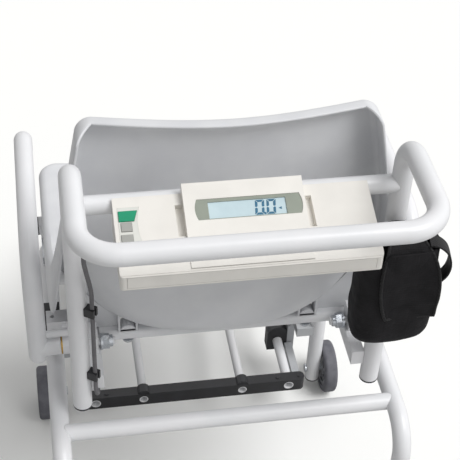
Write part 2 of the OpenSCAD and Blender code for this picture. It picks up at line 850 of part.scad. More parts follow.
module load_cell_covers() {
    half = cell_w / 2 + cover_gap;
    y1 = cell_ys[0] - cover_gap;
    y2 = cell_ys[0] + cell_l + cover_gap;
    top = cell_top_z + 3.5;
    color("#202022") in_frame() both_sides() difference() {
        box(base_x - half - cover_wall, base_x + half + cover_wall, y1 - cover_wall, y2 + cover_wall,
            rail_z + 8, top + 1.5);
        box(base_x - half, base_x + half, y1, y2, rail_z, top);
        box(base_x - half, base_x + half, cell_live_y(0) - cell_end_l / 2 - 1,
            cell_live_y(0) + cell_end_l / 2 + 1, top - 1, top + 3);
        cylinder_y(base_x, rail_z, y1 - 2 * tube_d, y2 + 2 * tube_d, tube_d);
    }
}

// Junction box of the cells, fixed inside the left side bar, with its lid below
jbox_w = 60;
jbox_y = 150;
jbox_l = 80;
jbox_z = side_bar_foot - 6;
jbox_top = side_bar_top - 2;
jbox_wall = 2;

module junction_box() {
    color("#b4b6b8") in_frame() difference() {
        box(-side_bar_x, -side_bar_x + jbox_w, jbox_y, jbox_y + jbox_l, jbox_z, jbox_top);
        box(-side_bar_x + jbox_wall, -side_bar_x + jbox_w - jbox_wall, jbox_y + jbox_wall,
            jbox_y + jbox_l - jbox_wall, jbox_z - 1, jbox_top - jbox_wall);
        cylinder_y(jbox_lead_x, jbox_lead_z, jbox_y - 1, jbox_y + jbox_wall + 1, gland_d);
    }
}

module junction_lid() {
    color("#8d9093") in_frame() {
        box(-side_bar_x, -side_bar_x + jbox_w, jbox_y, jbox_y + jbox_l, jbox_z - 2.5, jbox_z);
        box(-side_bar_x + jbox_wall + play, -side_bar_x + jbox_w - jbox_wall - play,
            jbox_y + jbox_wall + play, jbox_y + jbox_l - jbox_wall - play, jbox_z, jbox_z + 3);
    }
}

// Sensor lead from the console down the left upright to the junction box
lead_d = 6;
gland_d = 10;
gland_l = 8;
jbox_lead_x = -150;
jbox_lead_z = 498;
console_lead_y = -62;
console_lead_z = 800;
clip_x = -190;
clip_y = -12;
lead_sides = 8;
lead_steps = 2;
lead_route = [
    [-console_half - gland_l, console_lead_y, console_lead_z],
    [-console_half - 17, console_lead_y, 803],
    [-console_half - 28, -60, 806],
    [-console_half - 37, -56, 797],
    [-199, -48, 775],
    [-196, -32, 740],
    [-192, -18, 705],
    [clip_x, clip_y, 683],
    [clip_x, clip_y, 668],
    [clip_x, clip_y, 620],
    [clip_x, clip_y, 575],
    [clip_x, clip_y, 540],
    [clip_x, clip_y, 512],
    [clip_x, clip_y, 500],
    [-189, -12, 490],
    [-187, -6, 484],
    [-186.5, 8, 482],
    [-186.5, 45, 483],
    [-186, 85, 484],
    [-170, 105, 490],
    [-152, 118, 497],
    [jbox_lead_x, 130, jbox_lead_z],
    [jbox_lead_x, jbox_y - gland_l, jbox_lead_z]
];

// Smooth curve through the route's points
function smooth(p0, p1, p2, p3, t) =
    0.5 * ((2 * p1) + (p2 - p0) * t + (2 * p0 - 5 * p1 + 4 * p2 - p3) * t * t
    + (3 * p1 - p0 - 3 * p2 + p3) * t * t * t);

function route_at(points, k) = points[max(0, min(len(points) - 1, k))];

function smooth_route(points, steps) = concat(
    [for (k = [0 : len(points) - 2], s = [0 : steps - 1])
        smooth(route_at(points, k - 1), points[k], points[k + 1], route_at(points, k + 2), s / steps)],
    [points[len(points) - 1]]
);

function unit(v) = v / norm(v);

function route_dir(path, k) =
    k == 0 ? [-1, 0, 0] :
    k == len(path) - 1 ? [0, 1, 0] :
    unit(path[k + 1] - path[k - 1]);

// Side direction carried along the path without twist
function carried(path, k, side) =
    let (t = route_dir(path, k), n = unit(side - t * (side * t)))
    k == len(path) - 1 ? [n] : concat([n], carried(path, k + 1, n));

module tube_along(path, d, sides, first_side) {
    sides_dir = carried(path, 0, first_side);
    n = len(path);
    points = [for (k = [0 : n - 1], m = [0 : sides - 1]) let (
        u = sides_dir[k],
        v = cross(route_dir(path, k), u),
        a = 360 * m / sides
    ) path[k] + d / 2 * (u * cos(a) + v * sin(a))];
    walls = [for (k = [0 : n - 2], m = [0 : sides - 1]) let (
        a = k * sides + m,
        b = k * sides + (m + 1) % sides
    ) each [[a, b, b + sides], [a, b + sides, a + sides]]];
    caps = [
        [for (m = [sides - 1 : -1 : 0]) m],
        [for (m = [0 : sides - 1]) (n - 1) * sides + m]
    ];
    polyhedron(points = points, faces = [for (f = concat(walls, caps)) [for (k = [len(f) - 1 : -1 : 0]) f[k]]]);
}

module sensor_lead() {
    color("#6b6a6d") in_frame()
        tube_along(smooth_route(lead_route, lead_steps), lead_d, lead_sides, [0, 0, 1]);
}

module lead_glands() {
    color("#202022") in_frame() {
        cylinder_x(console_lead_y, console_lead_z, -console_half - gland_l, -console_half + console_wall,
            gland_d - 2 * slide_gap);
        cylinder_y(jbox_lead_x, jbox_lead_z, jbox_y - gland_l, jbox_y + jbox_wall, gland_d - 2 * slide_gap);
    }
}

// Clips that hold the lead beside the left upright
clip_zs = [650, 527];
clip_h = 14;

module lead_clips() {
    reach = norm([upright_x + clip_x, clip_y]);
    color("#1c1c1e") in_frame() for (z = clip_zs)
        translate([-upright_x, 0, z - clip_h / 2]) rotate([0, 0, atan2(clip_y, upright_x + clip_x)])
            difference() {
                translate([tube_r - sink, -6, 0]) cube([reach - tube_r + 5 + sink, 12, clip_h]);
                translate([0, 0, -1]) cylinder(d = tube_d, h = clip_h + 2);
                translate([reach, 0, -1]) cylinder(d = lead_d + 2 * slide_gap, h = clip_h + 2);
                translate([reach, -lead_d / 2 + 1, -1]) cube([20, lead_d - 2, clip_h + 2]);
            }
}

// Front wheels: spoked hub and tyre on a fixed axle through the leg
axle_z = wheel_d / 2;
wheel_in_x = base_x + tube_r + 1;
wheel_out_x = wheel_in_x + wheel_w;
rim_d_out = wheel_d - 28;

module front_wheel() {
    along_wheel() difference() {
        union() {
            difference() {
                cylinder(d = rim_d_out, h = wheel_w - 4);
                translate([0, 0, -1]) cylinder(d = rim_d_out - 14, h = 7);
                translate([0, 0, wheel_w - 10]) cylinder(d = rim_d_out - 14, h = 10);
            }
            cylinder(d = 34, h = wheel_w - 4);
            for (a = [0 : 60 : 300]) rotate([0, 0, a])
                translate([0, -3, 0]) cube([rim_d_out / 2 - 4, 6, wheel_w - 4]);
        }
        translate([0, 0, -3]) cylinder(d = axle_d + 2 * run_gap, h = wheel_w + 6);
        translate([0, 0, wheel_w - 12]) cylinder(d = 24, h = 12);
    }
}

module along_wheel() {
    translate([wheel_in_x + 2, leg_front_y, axle_z]) rotate([0, 90, 0]) children();
}

module front_tyre() {
    round_r = 6;
    along_wheel() rotate_extrude($fn = 96) difference() {
        translate([0, -2]) union() {
            translate([rim_d_out / 2, 0]) square([(wheel_d - rim_d_out) / 2 - round_r, wheel_w]);
            translate([rim_d_out / 2, round_r])
                square([(wheel_d - rim_d_out) / 2, wheel_w - 2 * round_r]);
            for (h = [round_r, wheel_w - round_r])
                translate([wheel_d / 2 - round_r, h]) circle(round_r);
        }
        translate([0, -4]) square([rim_d_out / 2, wheel_w + 8]);
    }
}

module front_wheel_left() {
    color("#9a9ba0") in_frame() mirror([1, 0, 0]) front_wheel();
}

module front_wheel_right() {
    color("#9a9ba0") in_frame() front_wheel();
}

module front_tyre_left() {
    color("#8b8a96") in_frame() mirror([1, 0, 0]) front_tyre();
}

module front_tyre_right() {
    color("#8b8a96") in_frame() front_tyre();
}

module front_axles() {
    color("#b9bdc2") in_frame() both_sides() {
        cylinder_x(leg_front_y, axle_z, base_x - tube_r - 3, base_x - tube_r, 16);
        cylinder_x(leg_front_y, axle_z, base_x - tube_r, wheel_out_x - 2, axle_d);
        translate([wheel_out_x - 10 + play, leg_front_y, axle_z]) rotate([0, 90, 0])
            cylinder(d = 19 / cos(30), h = 7, $fn = 6);
    }
}

// Castors: stem in the rear leg, swivelling fork with axle, wheel and brake pedal
castor_y = -leg_rear_y;
crown_z = 113;
crown_h = 15;
crown_d = 44;
fork_half = castor_w / 2 + 2;
fork_t = 3.5;
wheel_y = castor_y - castor_trail;
castor_r = castor_d / 2;
pedal_pivot_y = wheel_y - 2;
pedal_pivot_z = castor_d + 11;
pedal_pin_d = 5;

module castor_stems() {
    flange_z = crown_z + crown_h + play;
    color("#b9bdc2") in_frame() both_sides() {
        cylinder_z(base_x, castor_y, leg_rear_foot_z, leg_rear_foot_z + 40, plug_d - 2 * slide_gap);
        cylinder_z(base_x, castor_y, flange_z, leg_rear_foot_z, 34);
        cylinder_z(base_x, castor_y, crown_z - 6, flange_z, kingpin_d);
        cylinder_z(base_x, castor_y, crown_z - 7, crown_z - play, 17);
    }
}

module fork_side() {
    polygon([
        [castor_y + 17, crown_z + crown_h - 4],
        [castor_y + 17, crown_z - 8],
        [wheel_y + 9, castor_r - 4],
        [wheel_y - 9, castor_r - 4],
        [wheel_y - 13, castor_r + 26],
        [pedal_pivot_y - 6, pedal_pivot_z - 2],
        [pedal_pivot_y - 6, pedal_pivot_z + 5],
        [pedal_pivot_y + 6, crown_z + crown_h - 4]
    ]);
    translate([wheel_y, castor_r - 4]) circle(9);
}

module castor_fork() {
    difference() {
        union() {
            cylinder_z(base_x, castor_y, crown_z, crown_z + crown_h, crown_d);
            for (s = [-1, 1]) translate([base_x, 0, 0]) scale_x(s)
                along_x(fork_half, fork_half + fork_t) fork_side();
            box(base_x - fork_half - 1, base_x + fork_half + 1, castor_y - 20, castor_y + 17,
                crown_z + 3, crown_z + crown_h - 4);
        }
        cylinder_z(base_x, castor_y, crown_z - 10, crown_z + crown_h + 10, kingpin_d + 2 * run_gap);
        cylinder_x(wheel_y, castor_r, base_x - 30, base_x + 30, castor_axle_d);
        cylinder_x(pedal_pivot_y, pedal_pivot_z, base_x - 30, base_x + 30, pedal_pin_d + 2 * run_gap);
    }
    cylinder_x(wheel_y, castor_r, base_x - fork_half - fork_t - 3, base_x + fork_half + fork_t + 3,
        castor_axle_d);
    for (s = [-1, 1]) translate([base_x, wheel_y, castor_r]) rotate([0, 90 * s, 0])
        translate([0, 0, fork_half + fork_t]) cylinder(d = 13, h = 4);
}

module castor_wheel() {
    translate([base_x - castor_w / 2, wheel_y, castor_r]) rotate([0, 90, 0]) rotate_extrude($fn = 96)
        difference() {
            union() {
                translate([0, 3]) square([castor_r, castor_w - 6]);
                square([castor_r - 3, castor_w]);
                for (h = [3, castor_w - 3]) translate([castor_r - 3, h]) circle(3);
            }
            translate([-1, -1]) square([castor_axle_d / 2 + run_gap + 1, castor_w + 2]);
            for (h = [-1, castor_w - 4]) translate([14, h]) square([22, 5]);
            translate([-castor_r, -1]) square([castor_r, castor_w + 2]);
        }
}

// Brake pedal with its shoe over the tread
module castor_pedal() {
    half = fork_half - play;
    shoe_y = pedal_pivot_y - 12;
    cylinder_x(pedal_pivot_y, pedal_pivot_z, base_x - fork_half - fork_t, base_x + fork_half + fork_t,
        pedal_pin_d);
    box(base_x - half, base_x + half, pedal_pivot_y - 44, pedal_pivot_y - 5,
        pedal_pivot_z + 1, pedal_pivot_z + 6);
    cylinder_x(pedal_pivot_y, pedal_pivot_z, base_x - half, base_x + half, 12);
    box(base_x - half, base_x + half, shoe_y - 4, shoe_y + 4, castor_d + 1, pedal_pivot_z + 2);
    box(base_x - half - 4, base_x + half + 4, pedal_pivot_y - 46, pedal_pivot_y - 26,
        pedal_pivot_z + 4, pedal_pivot_z + 9);
}

module castor_fork_left() {
    color("#c4c7cb") in_frame() mirror([1, 0, 0]) castor_fork();
}

module castor_fork_right() {
    color("#c4c7cb") in_frame() castor_fork();
}

module castor_wheel_left() {
    color("#8b8a96") in_frame() mirror([1, 0, 0]) castor_wheel();
}

module castor_wheel_right() {
    color("#8b8a96") in_frame() castor_wheel();
}

module castor_pedal_left() {
    color("#303134") in_frame() mirror([1, 0, 0]) castor_pedal();
}

module castor_pedal_right() {
    color("#303134") in_frame() castor_pedal();
}

// Footrest: slide tubes and inner tubes, end bar, rails, plate and mat
end_bar_l = 20;
end_bar_h = 28;
end_bar_half = 208;
tube_front_y = footplate_front_y - 8;
rail_w = 20;
front_rail_y = footplate_front_y - 32;
rear_rail_y = footplate_front_y - footplate_l + 8;
guide_y = leg_front_y + 41;
guide_half_w = 19;
guide_foot_z = slide_z - 24;
guide_top_z = slide_z + 35;
hanger_z = footplate_z + 22;
hanger_h = 20;
stop_rail_w = 14;

module footrest_tubes() {
    color("#eeeeef") in_frame() both_sides() {
        tube_y(slide_x, slide_z, end_bar_y, tube_front_y, slide_d, 1.5);
        tube_y(inner_x, slide_z, end_bar_y, tube_front_y, inner_d, 1.5);
    }
}

module footrest_end_bar() {
    color("#202022") in_frame() difference() {
        union() {
            translate([0, end_bar_y + end_bar_l / 2, slide_z - end_bar_h / 2]) linear_extrude(end_bar_h)
                rounded_rect(2 * end_bar_half, end_bar_l, end_bar_l / 2 - 0.5);
            both_sides() {
                cylinder_y(inner_x, slide_z + end_bar_h / 2 - 3, end_bar_y + 1, end_bar_y + end_bar_l - 1, 22);
                for (dx = [-20, 20])
                    cylinder_z(slide_x + dx, end_bar_y + end_bar_l / 2, slide_z, slide_z + end_bar_h / 2 + 1.5, 8);
            }
        }
        both_sides() {
            cylinder_y(slide_x, slide_z, end_bar_y - 1, end_bar_y + end_bar_l + 1, slide_d);
            cylinder_y(inner_x, slide_z, end_bar_y - 1, end_bar_y + end_bar_l + 1, inner_d);
        }
    }
}

module footrest_rails() {
    inner_half = inner_x + 24;
    outer_half = slide_x + 14;
    color("#d2d3d5") in_frame() difference() {
        union() {
            box(-outer_half, outer_half, front_rail_y, front_rail_y + rail_w, slide_z, footplate_z);
            box(-inner_half, inner_half, rear_rail_y, rear_rail_y + rail_w, slide_z, footplate_z);
            both_sides() box(slide_x + stop_rail_w, slide_x + 2 * stop_rail_w, end_bar_y + end_bar_l,
                guide_y - 2, slide_z - 20, slide_z - 6);
        }
        both_sides() {
            cylinder_y(slide_x, slide_z, front_rail_y - 1, front_rail_y + rail_w + 1, slide_d);
            cylinder_y(inner_x, slide_z, rear_rail_y - 1, front_rail_y + rail_w + 1, inner_d);
        }
    }
}

plate_t = 2.5;
plate_lip = 14;
plate_corner_r = 18;

module footplate() {
    y_mid = footplate_front_y - footplate_l / 2;
    color("#e6e6e8") in_frame() {
        translate([0, y_mid, footplate_z]) linear_extrude(plate_t)
            rounded_rect(footplate_w, footplate_l, plate_corner_r);
        box(-footplate_w / 2 + plate_corner_r, footplate_w / 2 - plate_corner_r,
            footplate_front_y - plate_t, footplate_front_y, footplate_z - plate_lip, footplate_z + plate_t);
    }
}

// Rubber mat with raised strips
mat_t = 2;
mat_margin = 10;
strip_pitch = 14;

module footplate_mat() {
    w = footplate_w - 2 * mat_margin;
    l = footplate_l - 2 * mat_margin;
    top = footplate_z + plate_t;
    strips = floor((l - 2 * mat_margin) / strip_pitch);
    color("#2a2a2c") in_frame() translate([0, footplate_front_y - footplate_l / 2, top]) {
        linear_extrude(mat_t) rounded_rect(w, l, plate_corner_r - mat_margin + 4);
        for (k = [0 : strips]) translate([-w / 2 + mat_margin, (k - strips / 2) * strip_pitch - 2, mat_t])
            cube([w - 2 * mat_margin, 4, 1.5]);
    }
}

// Guides: arched blocks that the slide tubes run through, on brackets from the front legs
module guide_blocks() {
    color("#1c1c1e") in_frame() both_sides() difference() {
        union() {
            box(slide_x - guide_half_w, slide_x + guide_half_w, guide_y, guide_y + guide_l,
                guide_foot_z, guide_top_z - 12);
            cylinder_y(slide_x, guide_top_z - guide_half_w, guide_y, guide_y + guide_l, 2 * guide_half_w);
        }
        cylinder_y(slide_x, slide_z, guide_y - 1, guide_y + guide_l + 1, slide_d + 2 * slide_gap);
    }
}

module guide_brackets() {
    plate_x = slide_x + guide_half_w;
    post_x = footplate_w / 2 + 1.5;
    post_end_x = post_x + 9;
    color("#a9abae") in_frame() both_sides() difference() {
        union() {
            box(plate_x, post_end_x, guide_y, guide_y + guide_l, guide_foot_z, guide_top_z);
            box(post_x, post_end_x, guide_y, guide_y + guide_l, guide_foot_z, hanger_z + hanger_h);
            box(post_x, post_x + 4, leg_front_y, guide_y + guide_l, hanger_z, hanger_z + hanger_h);
            box(post_x, base_x, leg_front_y - 10, leg_front_y + 10, hanger_z, hanger_z + hanger_h);
        }
        cylinder_z(base_x, leg_front_y, hanger_z - 20, hanger_z + hanger_h + 20, tube_d);
    }
}

// Console: wedge shaped housing behind the cross tube
slope = atan2(console_front_z - console_rear_z, console_rear_y - console_front_y);
slope_l = norm([console_front_z - console_rear_z, console_rear_y - console_front_y]);
cover_t = 3;
console_end_r = 5;
edge_drop = 2.4;
edge_l = 12;
saddle_r = cross_d / 2 + play;
battery_d = 14.5;
battery_l = 50.5;
battery_count = floor(2 * (console_half - 6) / battery_l);
battery_y = -console_rear_y + console_wall + battery_d / 2 + 1;
battery_z = console_floor_z + console_wall + battery_d / 2 + 0.5;
bay_wall_y = battery_y + battery_d / 2 + 1;
door_half_w = battery_count * battery_l / 2;
door_z = console_floor_z + console_wall;
door_h = 17;

// Frame on the sloping top: X across, Y up the slope, Z out of the top
module on_slope() {
    translate([0, -console_rear_y, console_rear_z]) rotate([slope, 0, 0]) children();
}

function slope_point(v, w) =
    [-console_rear_y + v * cos(slope) - w * sin(slope), console_rear_z + v * sin(slope) + w * cos(slope)];

module plan_ends() {
    translate([0, -(console_rear_y + 1) / 2, console_floor_z - 50]) linear_extrude(200)
        rounded_rect(2 * console_half, console_rear_y + 1, console_end_r);
}

// Side view of the console below its cover, drawn in by a wall
module base_profile(wall) {
    p = slope_point(0, -cover_t);
    q = slope_point(slope_l, -cover_t);
    difference() {
        polygon([
            [q[0] - wall, q[1] - wall * tan(slope)],
            [p[0] + wall, p[1]],
            [-console_rear_y - 1 + wall, p[1] - 1],
            [-console_rear_y - 1 + wall, console_floor_z + wall],
            [-17 - wall, console_floor_z + wall],
            [q[0] - wall, console_floor_z + 12]
        ]);
        translate([0, cross_z]) circle(saddle_r + wall);
    }
}

module console_base() {
    color("#e2e0da") in_frame() {
        difference() {
            intersection() {
                along_x(-console_half, console_half) base_profile(0);
                plan_ends();
            }
            along_x(-console_half + console_wall + 2, console_half - console_wall - 2)
                base_profile(console_wall);
            on_slope() translate([-console_half + console_wall + 4, 10, -cover_t - 8])
                cube([2 * (console_half - console_wall - 4), slope_l - 24, 9]);
            box(-door_half_w, door_half_w, -console_rear_y - 2, -console_rear_y + console_wall + 1,
                door_z, door_z + door_h);
            cylinder_x(console_lead_y, console_lead_z, -console_half - 1, -console_half + 6, gland_d);
            both_sides() for (y = clamp_screw_ys)
                cylinder_z(clamp_x, y, console_floor_z - 1, console_floor_z + console_wall + 1, clamp_screw_d);
        }
        box(-door_half_w + 2, door_half_w - 2, bay_wall_y, bay_wall_y + 1.5,
            console_floor_z + console_wall, console_rear_z - 1);
        board_posts();
    }
}

// Cover: sloping plate with the raised display housing
window_w = 133;
window_l = 28;
window_x = 4.5;
window_y = 77.5;
window_end_r = 34;
window_sink = 1;
lcd_w = 96;
lcd_l = 22.5;
cove_w = 9.7;
cove_v = [47, 92];
cove_depth = 8;
cove_wall = 1.5;
lcd_t = 3;
glass_t = 1.4;
housing_wall = 2.5;
housing_slope = atan2(housing_top_z - console_rear_z - 1, console_rear_y - 6);

module housing_profile(wall) {
    front = slope_point(slope_l, 0);
    polygon([
        [-console_rear_y + 2 + 3 * wall, console_rear_z + 0.5 - wall],
        [-6 - wall, housing_top_z - 1.2 * wall],
        [-6 - wall, front[1] - 2 - 2 * wall],
        [front[0] - wall, front[1] - cover_t - wall],
        [-console_rear_y + 6 + 3 * wall, console_rear_z - wall]
    ]);
}

// Side view of the sloping plate, bevelled along its rear edge
module cover_profile() {
    polygon([
        [0, -cover_t],
        [0, -edge_drop],
        [0.45 * edge_l, -0.35 * edge_drop],
        [edge_l, 0],
        [slope_l, 0],
        [slope_l, -cover_t]
    ]);
}

// Window with straight long edges and arched ends, made smaller all round by a gap
module window_shape(gap) {
    intersection() {
        square([window_w - 2 * gap, window_l - 2 * gap], center = true);
        union() {
            square([window_w - 2 * window_end_r, 2 * window_end_r], center = true);
            for (s = [-1, 1]) translate([s * (window_w / 2 - window_end_r), 0])
                circle(window_end_r - gap, $fn = 96);
        }
    }
}

module on_housing() {
    translate([0, -console_rear_y, console_rear_z + 1]) rotate([housing_slope, 0, 0]) children();
}

module console_cover() {
    color("#e4e2dc") in_frame() difference() {
        union() {
            intersection() {
                on_slope() along_x(-console_half, console_half) cover_profile();
                plan_ends();
            }
            along_x(-housing_half, housing_half) housing_profile(0);
            on_slope() both_sides() translate([housing_half - cove_wall, cove_v[0] - cove_wall,
                -cove_depth - cove_wall])
                cube([cove_w + 2 * cove_wall, cove_v[1] - cove_v[0] + 2 * cove_wall, cove_depth]);
        }
        on_slope() both_sides() translate([housing_half, cove_v[0], -cove_depth])
            cube([cove_w, cove_v[1] - cove_v[0], cove_depth + 1]);
        cylinder_x(0, cross_z, -console_half - 1, console_half + 1, 2 * saddle_r);
        along_x(-housing_half + housing_wall, housing_half - housing_wall) housing_profile(housing_wall);
        on_housing() translate([window_x, window_y, -6]) linear_extrude(12) window_shape(0);
        on_slope() translate([membrane_x, membrane_y, -1]) linear_extrude(2) film_shape(0);
        for (k = keys) key_hole(k, 2 * play, -cover_t - 1, 2);
    }
}

module display_window() {
    color("#9da893") in_frame() on_housing() translate([window_x, window_y, -glass_t - window_sink])
        linear_extrude(glass_t) window_shape(slide_gap);
}

module lcd_module() {
    color("#c5d9df") in_frame() on_housing()
        translate([window_x - 2 - lcd_w / 2, window_y - 1.6 - lcd_l / 2, -glass_t - window_sink - lcd_t])
            cube([lcd_w, lcd_l, lcd_t]);
}

// Board parallel to the top, on posts from the console's floor
board_x = -console_half + 10;
board_y = 30;
board_w = 225;
board_l = 60;
board_t = 1.6;
board_w0 = -cove_depth - cove_wall - 3;
post_d = 7;

module board_posts() {
    for (x = [board_x + 6, board_x + board_w - 6], v = [board_y + 5, board_y + board_l - 5])
        difference() {
            cylinder_z(x, slope_point(v, 0)[0], console_floor_z + 1, console_front_z, post_d);
            on_slope() translate([-console_half, 0, board_w0]) cube([2 * console_half, 2 * slope_l, 100]);
        }
}

module main_circuit_board() {
    color("#2f6b45") in_frame() {
        on_slope() translate([board_x, board_y, board_w0]) cube([board_w, board_l, board_t]);
        on_slope() for (k = keys)
            translate([k[0] + k[4] / 2 - 3, k[1] + k[3] / 2 - 3, board_w0 + board_t])
                cube([6, 6, key_stem_foot - key_travel - 0.1 - board_w0 - board_t]);
        on_slope() translate([board_x + board_w / 2, board_y + board_l / 2, board_w0 + board_t])
            cube([60, 12, 1.5]);
    }
}

// Keys on the left of the top, as [x, y up the slope, upper width, length, lower width]
membrane_x = -console_half + 5;
membrane_y = 41;
membrane_w = 27;
membrane_l = 53;
film_end_r = 88;
film_dip = 4;
key_x = -console_half + 6;
keys = [[key_x, 73.5, 23, 14.5, 18], [key_x + 2, 59.2, 13, 12.5, 13], [key_x + 1, 43.9, 14, 10.5, 14]];
key_top = 1.6;
key_cap_foot = -cover_t + key_travel + play;
key_stem_foot = -cover_t - 0.9;
key_stem_w = 4;

module key_hole(k, gap, w1, w2) {
    on_slope() translate([k[0], k[1], w1]) linear_extrude(w2 - w1) polygon([
        [-gap, -gap],
        [k[4] + gap, -gap],
        [k[2] + gap, k[3] + gap],
        [-gap, k[3] + gap]
    ]);
}

// Film with a hollow right edge, made smaller all round by a gap
module film_shape(gap) {
    difference() {
        translate([gap, gap]) square([membrane_w - 2 * gap, membrane_l - 2 * gap]);
        translate([membrane_w + film_end_r - film_dip, membrane_l / 2]) circle(film_end_r + gap, $fn = 192);
    }
}

module keypad_membrane() {
    color("#dcdcd6") in_frame() difference() {
        on_slope() translate([membrane_x, membrane_y, -1]) linear_extrude(1.3) film_shape(slide_gap);
        for (k = keys) key_hole(k, play, -2, 2);
    }
}

module key_cap(k) {
    key_hole(k, 0, key_cap_foot, key_top);
    on_slope() translate([k[0] + (k[4] - key_stem_w) / 2, k[1] + (k[3] - key_stem_w) / 2, key_stem_foot])
        cube([key_stem_w, key_stem_w, key_cap_foot - key_stem_foot + 0.1]);
}

module key_start() {
    color("#0a8f68") in_frame() key_cap(keys[0]);
}

module key_hold() {
    color("#cfd0cc") in_frame() key_cap(keys[1]);
}

module key_mode() {
    color("#cfd0cc") in_frame() key_cap(keys[2]);
}

module batteries() {
    color("#3d6f8f") in_frame() for (k = [0 : battery_count - 1])
        cylinder_x(battery_y, battery_z, -door_half_w + k * battery_l + 1,
            -door_half_w + (k + 1) * battery_l - 0.5, battery_d);
}

// Door in the rear face, hinged along its lower edge
module battery_door() {
    color("#e2e0da") in_frame() box(-door_half_w + play, door_half_w - play, -console_rear_y - 1,
        -console_rear_y + console_wall - 1, door_z + play, door_z + door_h - play);
}

// Clamps that hold the console on the cross tube, with their screws
clamp_x = console_half - 30;
clamp_w = 18;
clamp_t = 3;
clamp_screw_ys = [-32, -22];
clamp_screw_d = 4;
tube_screw_y = 3.5;

module console_clamps() {
    color("#202022") in_frame() both_sides() difference() {
        union() {
            difference() {
                cylinder_x(0, cross_z, clamp_x - clamp_w / 2, clamp_x + clamp_w / 2, cross_d + 2 * clamp_t);
                box(clamp_x - clamp_w, clamp_x + clamp_w, -50, -console_front_y + 3, cross_z - 50, cross_z + 50);
                box(clamp_x - clamp_w, clamp_x + clamp_w, -50, 50, cross_z - 1, cross_z + 50);
            }
            box(clamp_x - clamp_w / 2, clamp_x + clamp_w / 2, -5, -5 + clamp_t,
                console_floor_z - clamp_t, cross_z - cross_d / 2);
            box(clamp_x - clamp_w / 2, clamp_x + clamp_w / 2, -38, -5 + clamp_t,
                console_floor_z - clamp_t, console_floor_z);
        }
        cylinder_x(0, cross_z, clamp_x - clamp_w, clamp_x + clamp_w, cross_d);
        for (y = clamp_screw_ys)
            cylinder_z(clamp_x, y, console_floor_z - clamp_t - 1, console_floor_z + 1, clamp_screw_d);
        cylinder_z(clamp_x, tube_screw_y, cross_z - cross_d, cross_z, clamp_screw_d);
    }
}

module console_screws() {
    color("#b9bdc2") in_frame() both_sides() {
        for (y = clamp_screw_ys) translate([clamp_x, y, console_floor_z - clamp_t])
            dome_bolt(clamp_screw_d - 2 * run_gap, 7, 2.2, clamp_t + console_wall + 3);
        translate([clamp_x, tube_screw_y, cross_z - cross_d / 2 - clamp_t - 0.2])
            dome_bolt(clamp_screw_d - 2 * run_gap, 7, 2.2, clamp_t + tube_wall + 3);
    }
}

// Pouch behind the right upright, its top just below the console's underside
pouch_gap = 2.5;
pouch_top_z = console_floor_z - 5;
pouch_x = upright_x - 9;
pouch_r = 24;
pouch_soft = 12;

module soft_block(x1, x2, z1, z2) {
    translate([(x1 + x2) / 2, -tube_r - pouch_gap - pouch_d / 2, z1]) hull() {
        translate([0, 0, pouch_soft]) linear_extrude(z2 - z1 - 2 * pouch_soft)
            rounded_rect(x2 - x1, pouch_d, pouch_r, $fn = 32);
        linear_extrude(z2 - z1)
            rounded_rect(x2 - x1 - 2 * pouch_soft, pouch_d - 2 * pouch_soft, pouch_r - pouch_soft / 2, $fn = 32);
    }
}

module accessory_pouch() {
    x2 = pouch_x + pouch_w / 2;
    color("#1b1a1b") in_frame() {
        soft_block(x2 - pouch_w, x2, pouch_top_z - pouch_h, pouch_top_z);
    }
}

module pouch_straps() {
    strap_h = 25;
    color("#161516") in_frame() for (z = [pouch_top_z - 60, pouch_top_z - pouch_h + 45])
        difference() {
            union() {
                cylinder_z(upright_x, 0, z, z + strap_h, tube_d + 2 * (pouch_gap - play));
                box(upright_x - 14, upright_x + 14, -tube_r - pouch_gap, -tube_r + sink, z, z + strap_h);
            }
            cylinder_z(upright_x, 0, z - 1, z + strap_h + 1, tube_d);
        }
}

push_frame();
cross_tube();
tube_plugs();
back_brackets();
seat_shell();
seat_frame();
seat_cross_bars();
bar_end_caps();
seat_bolts();
armrest_left();
armrest_right();
pivot_washers();
pivot_nut_left();
pivot_nut_right();
side_frame_left();
side_frame_right();
base_cross_tubes();
load_cells();
load_cell_bolts();
load_cell_covers();
junction_box();
junction_lid();
lead_glands();
sensor_lead();
lead_clips();
front_wheel_left();
front_wheel_right();
front_tyre_left();
front_tyre_right();
front_axles();
castor_stems();
castor_fork_left();
castor_fork_right();
castor_wheel_left();
castor_wheel_right();
castor_pedal_left();
castor_pedal_right();
footrest_tubes();
footrest_end_bar();
footrest_rails();
footplate();
footplate_mat();
guide_blocks();
guide_brackets();
console_base();
console_cover();
display_window();
lcd_module();
main_circuit_board();
keypad_membrane();
key_start();
key_hold();
key_mode();
batteries();
battery_door();
console_clamps();
console_screws();
accessory_pouch();
pouch_straps();
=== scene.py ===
import math

import bmesh
import bpy
from mathutils import Matrix, Vector, noise


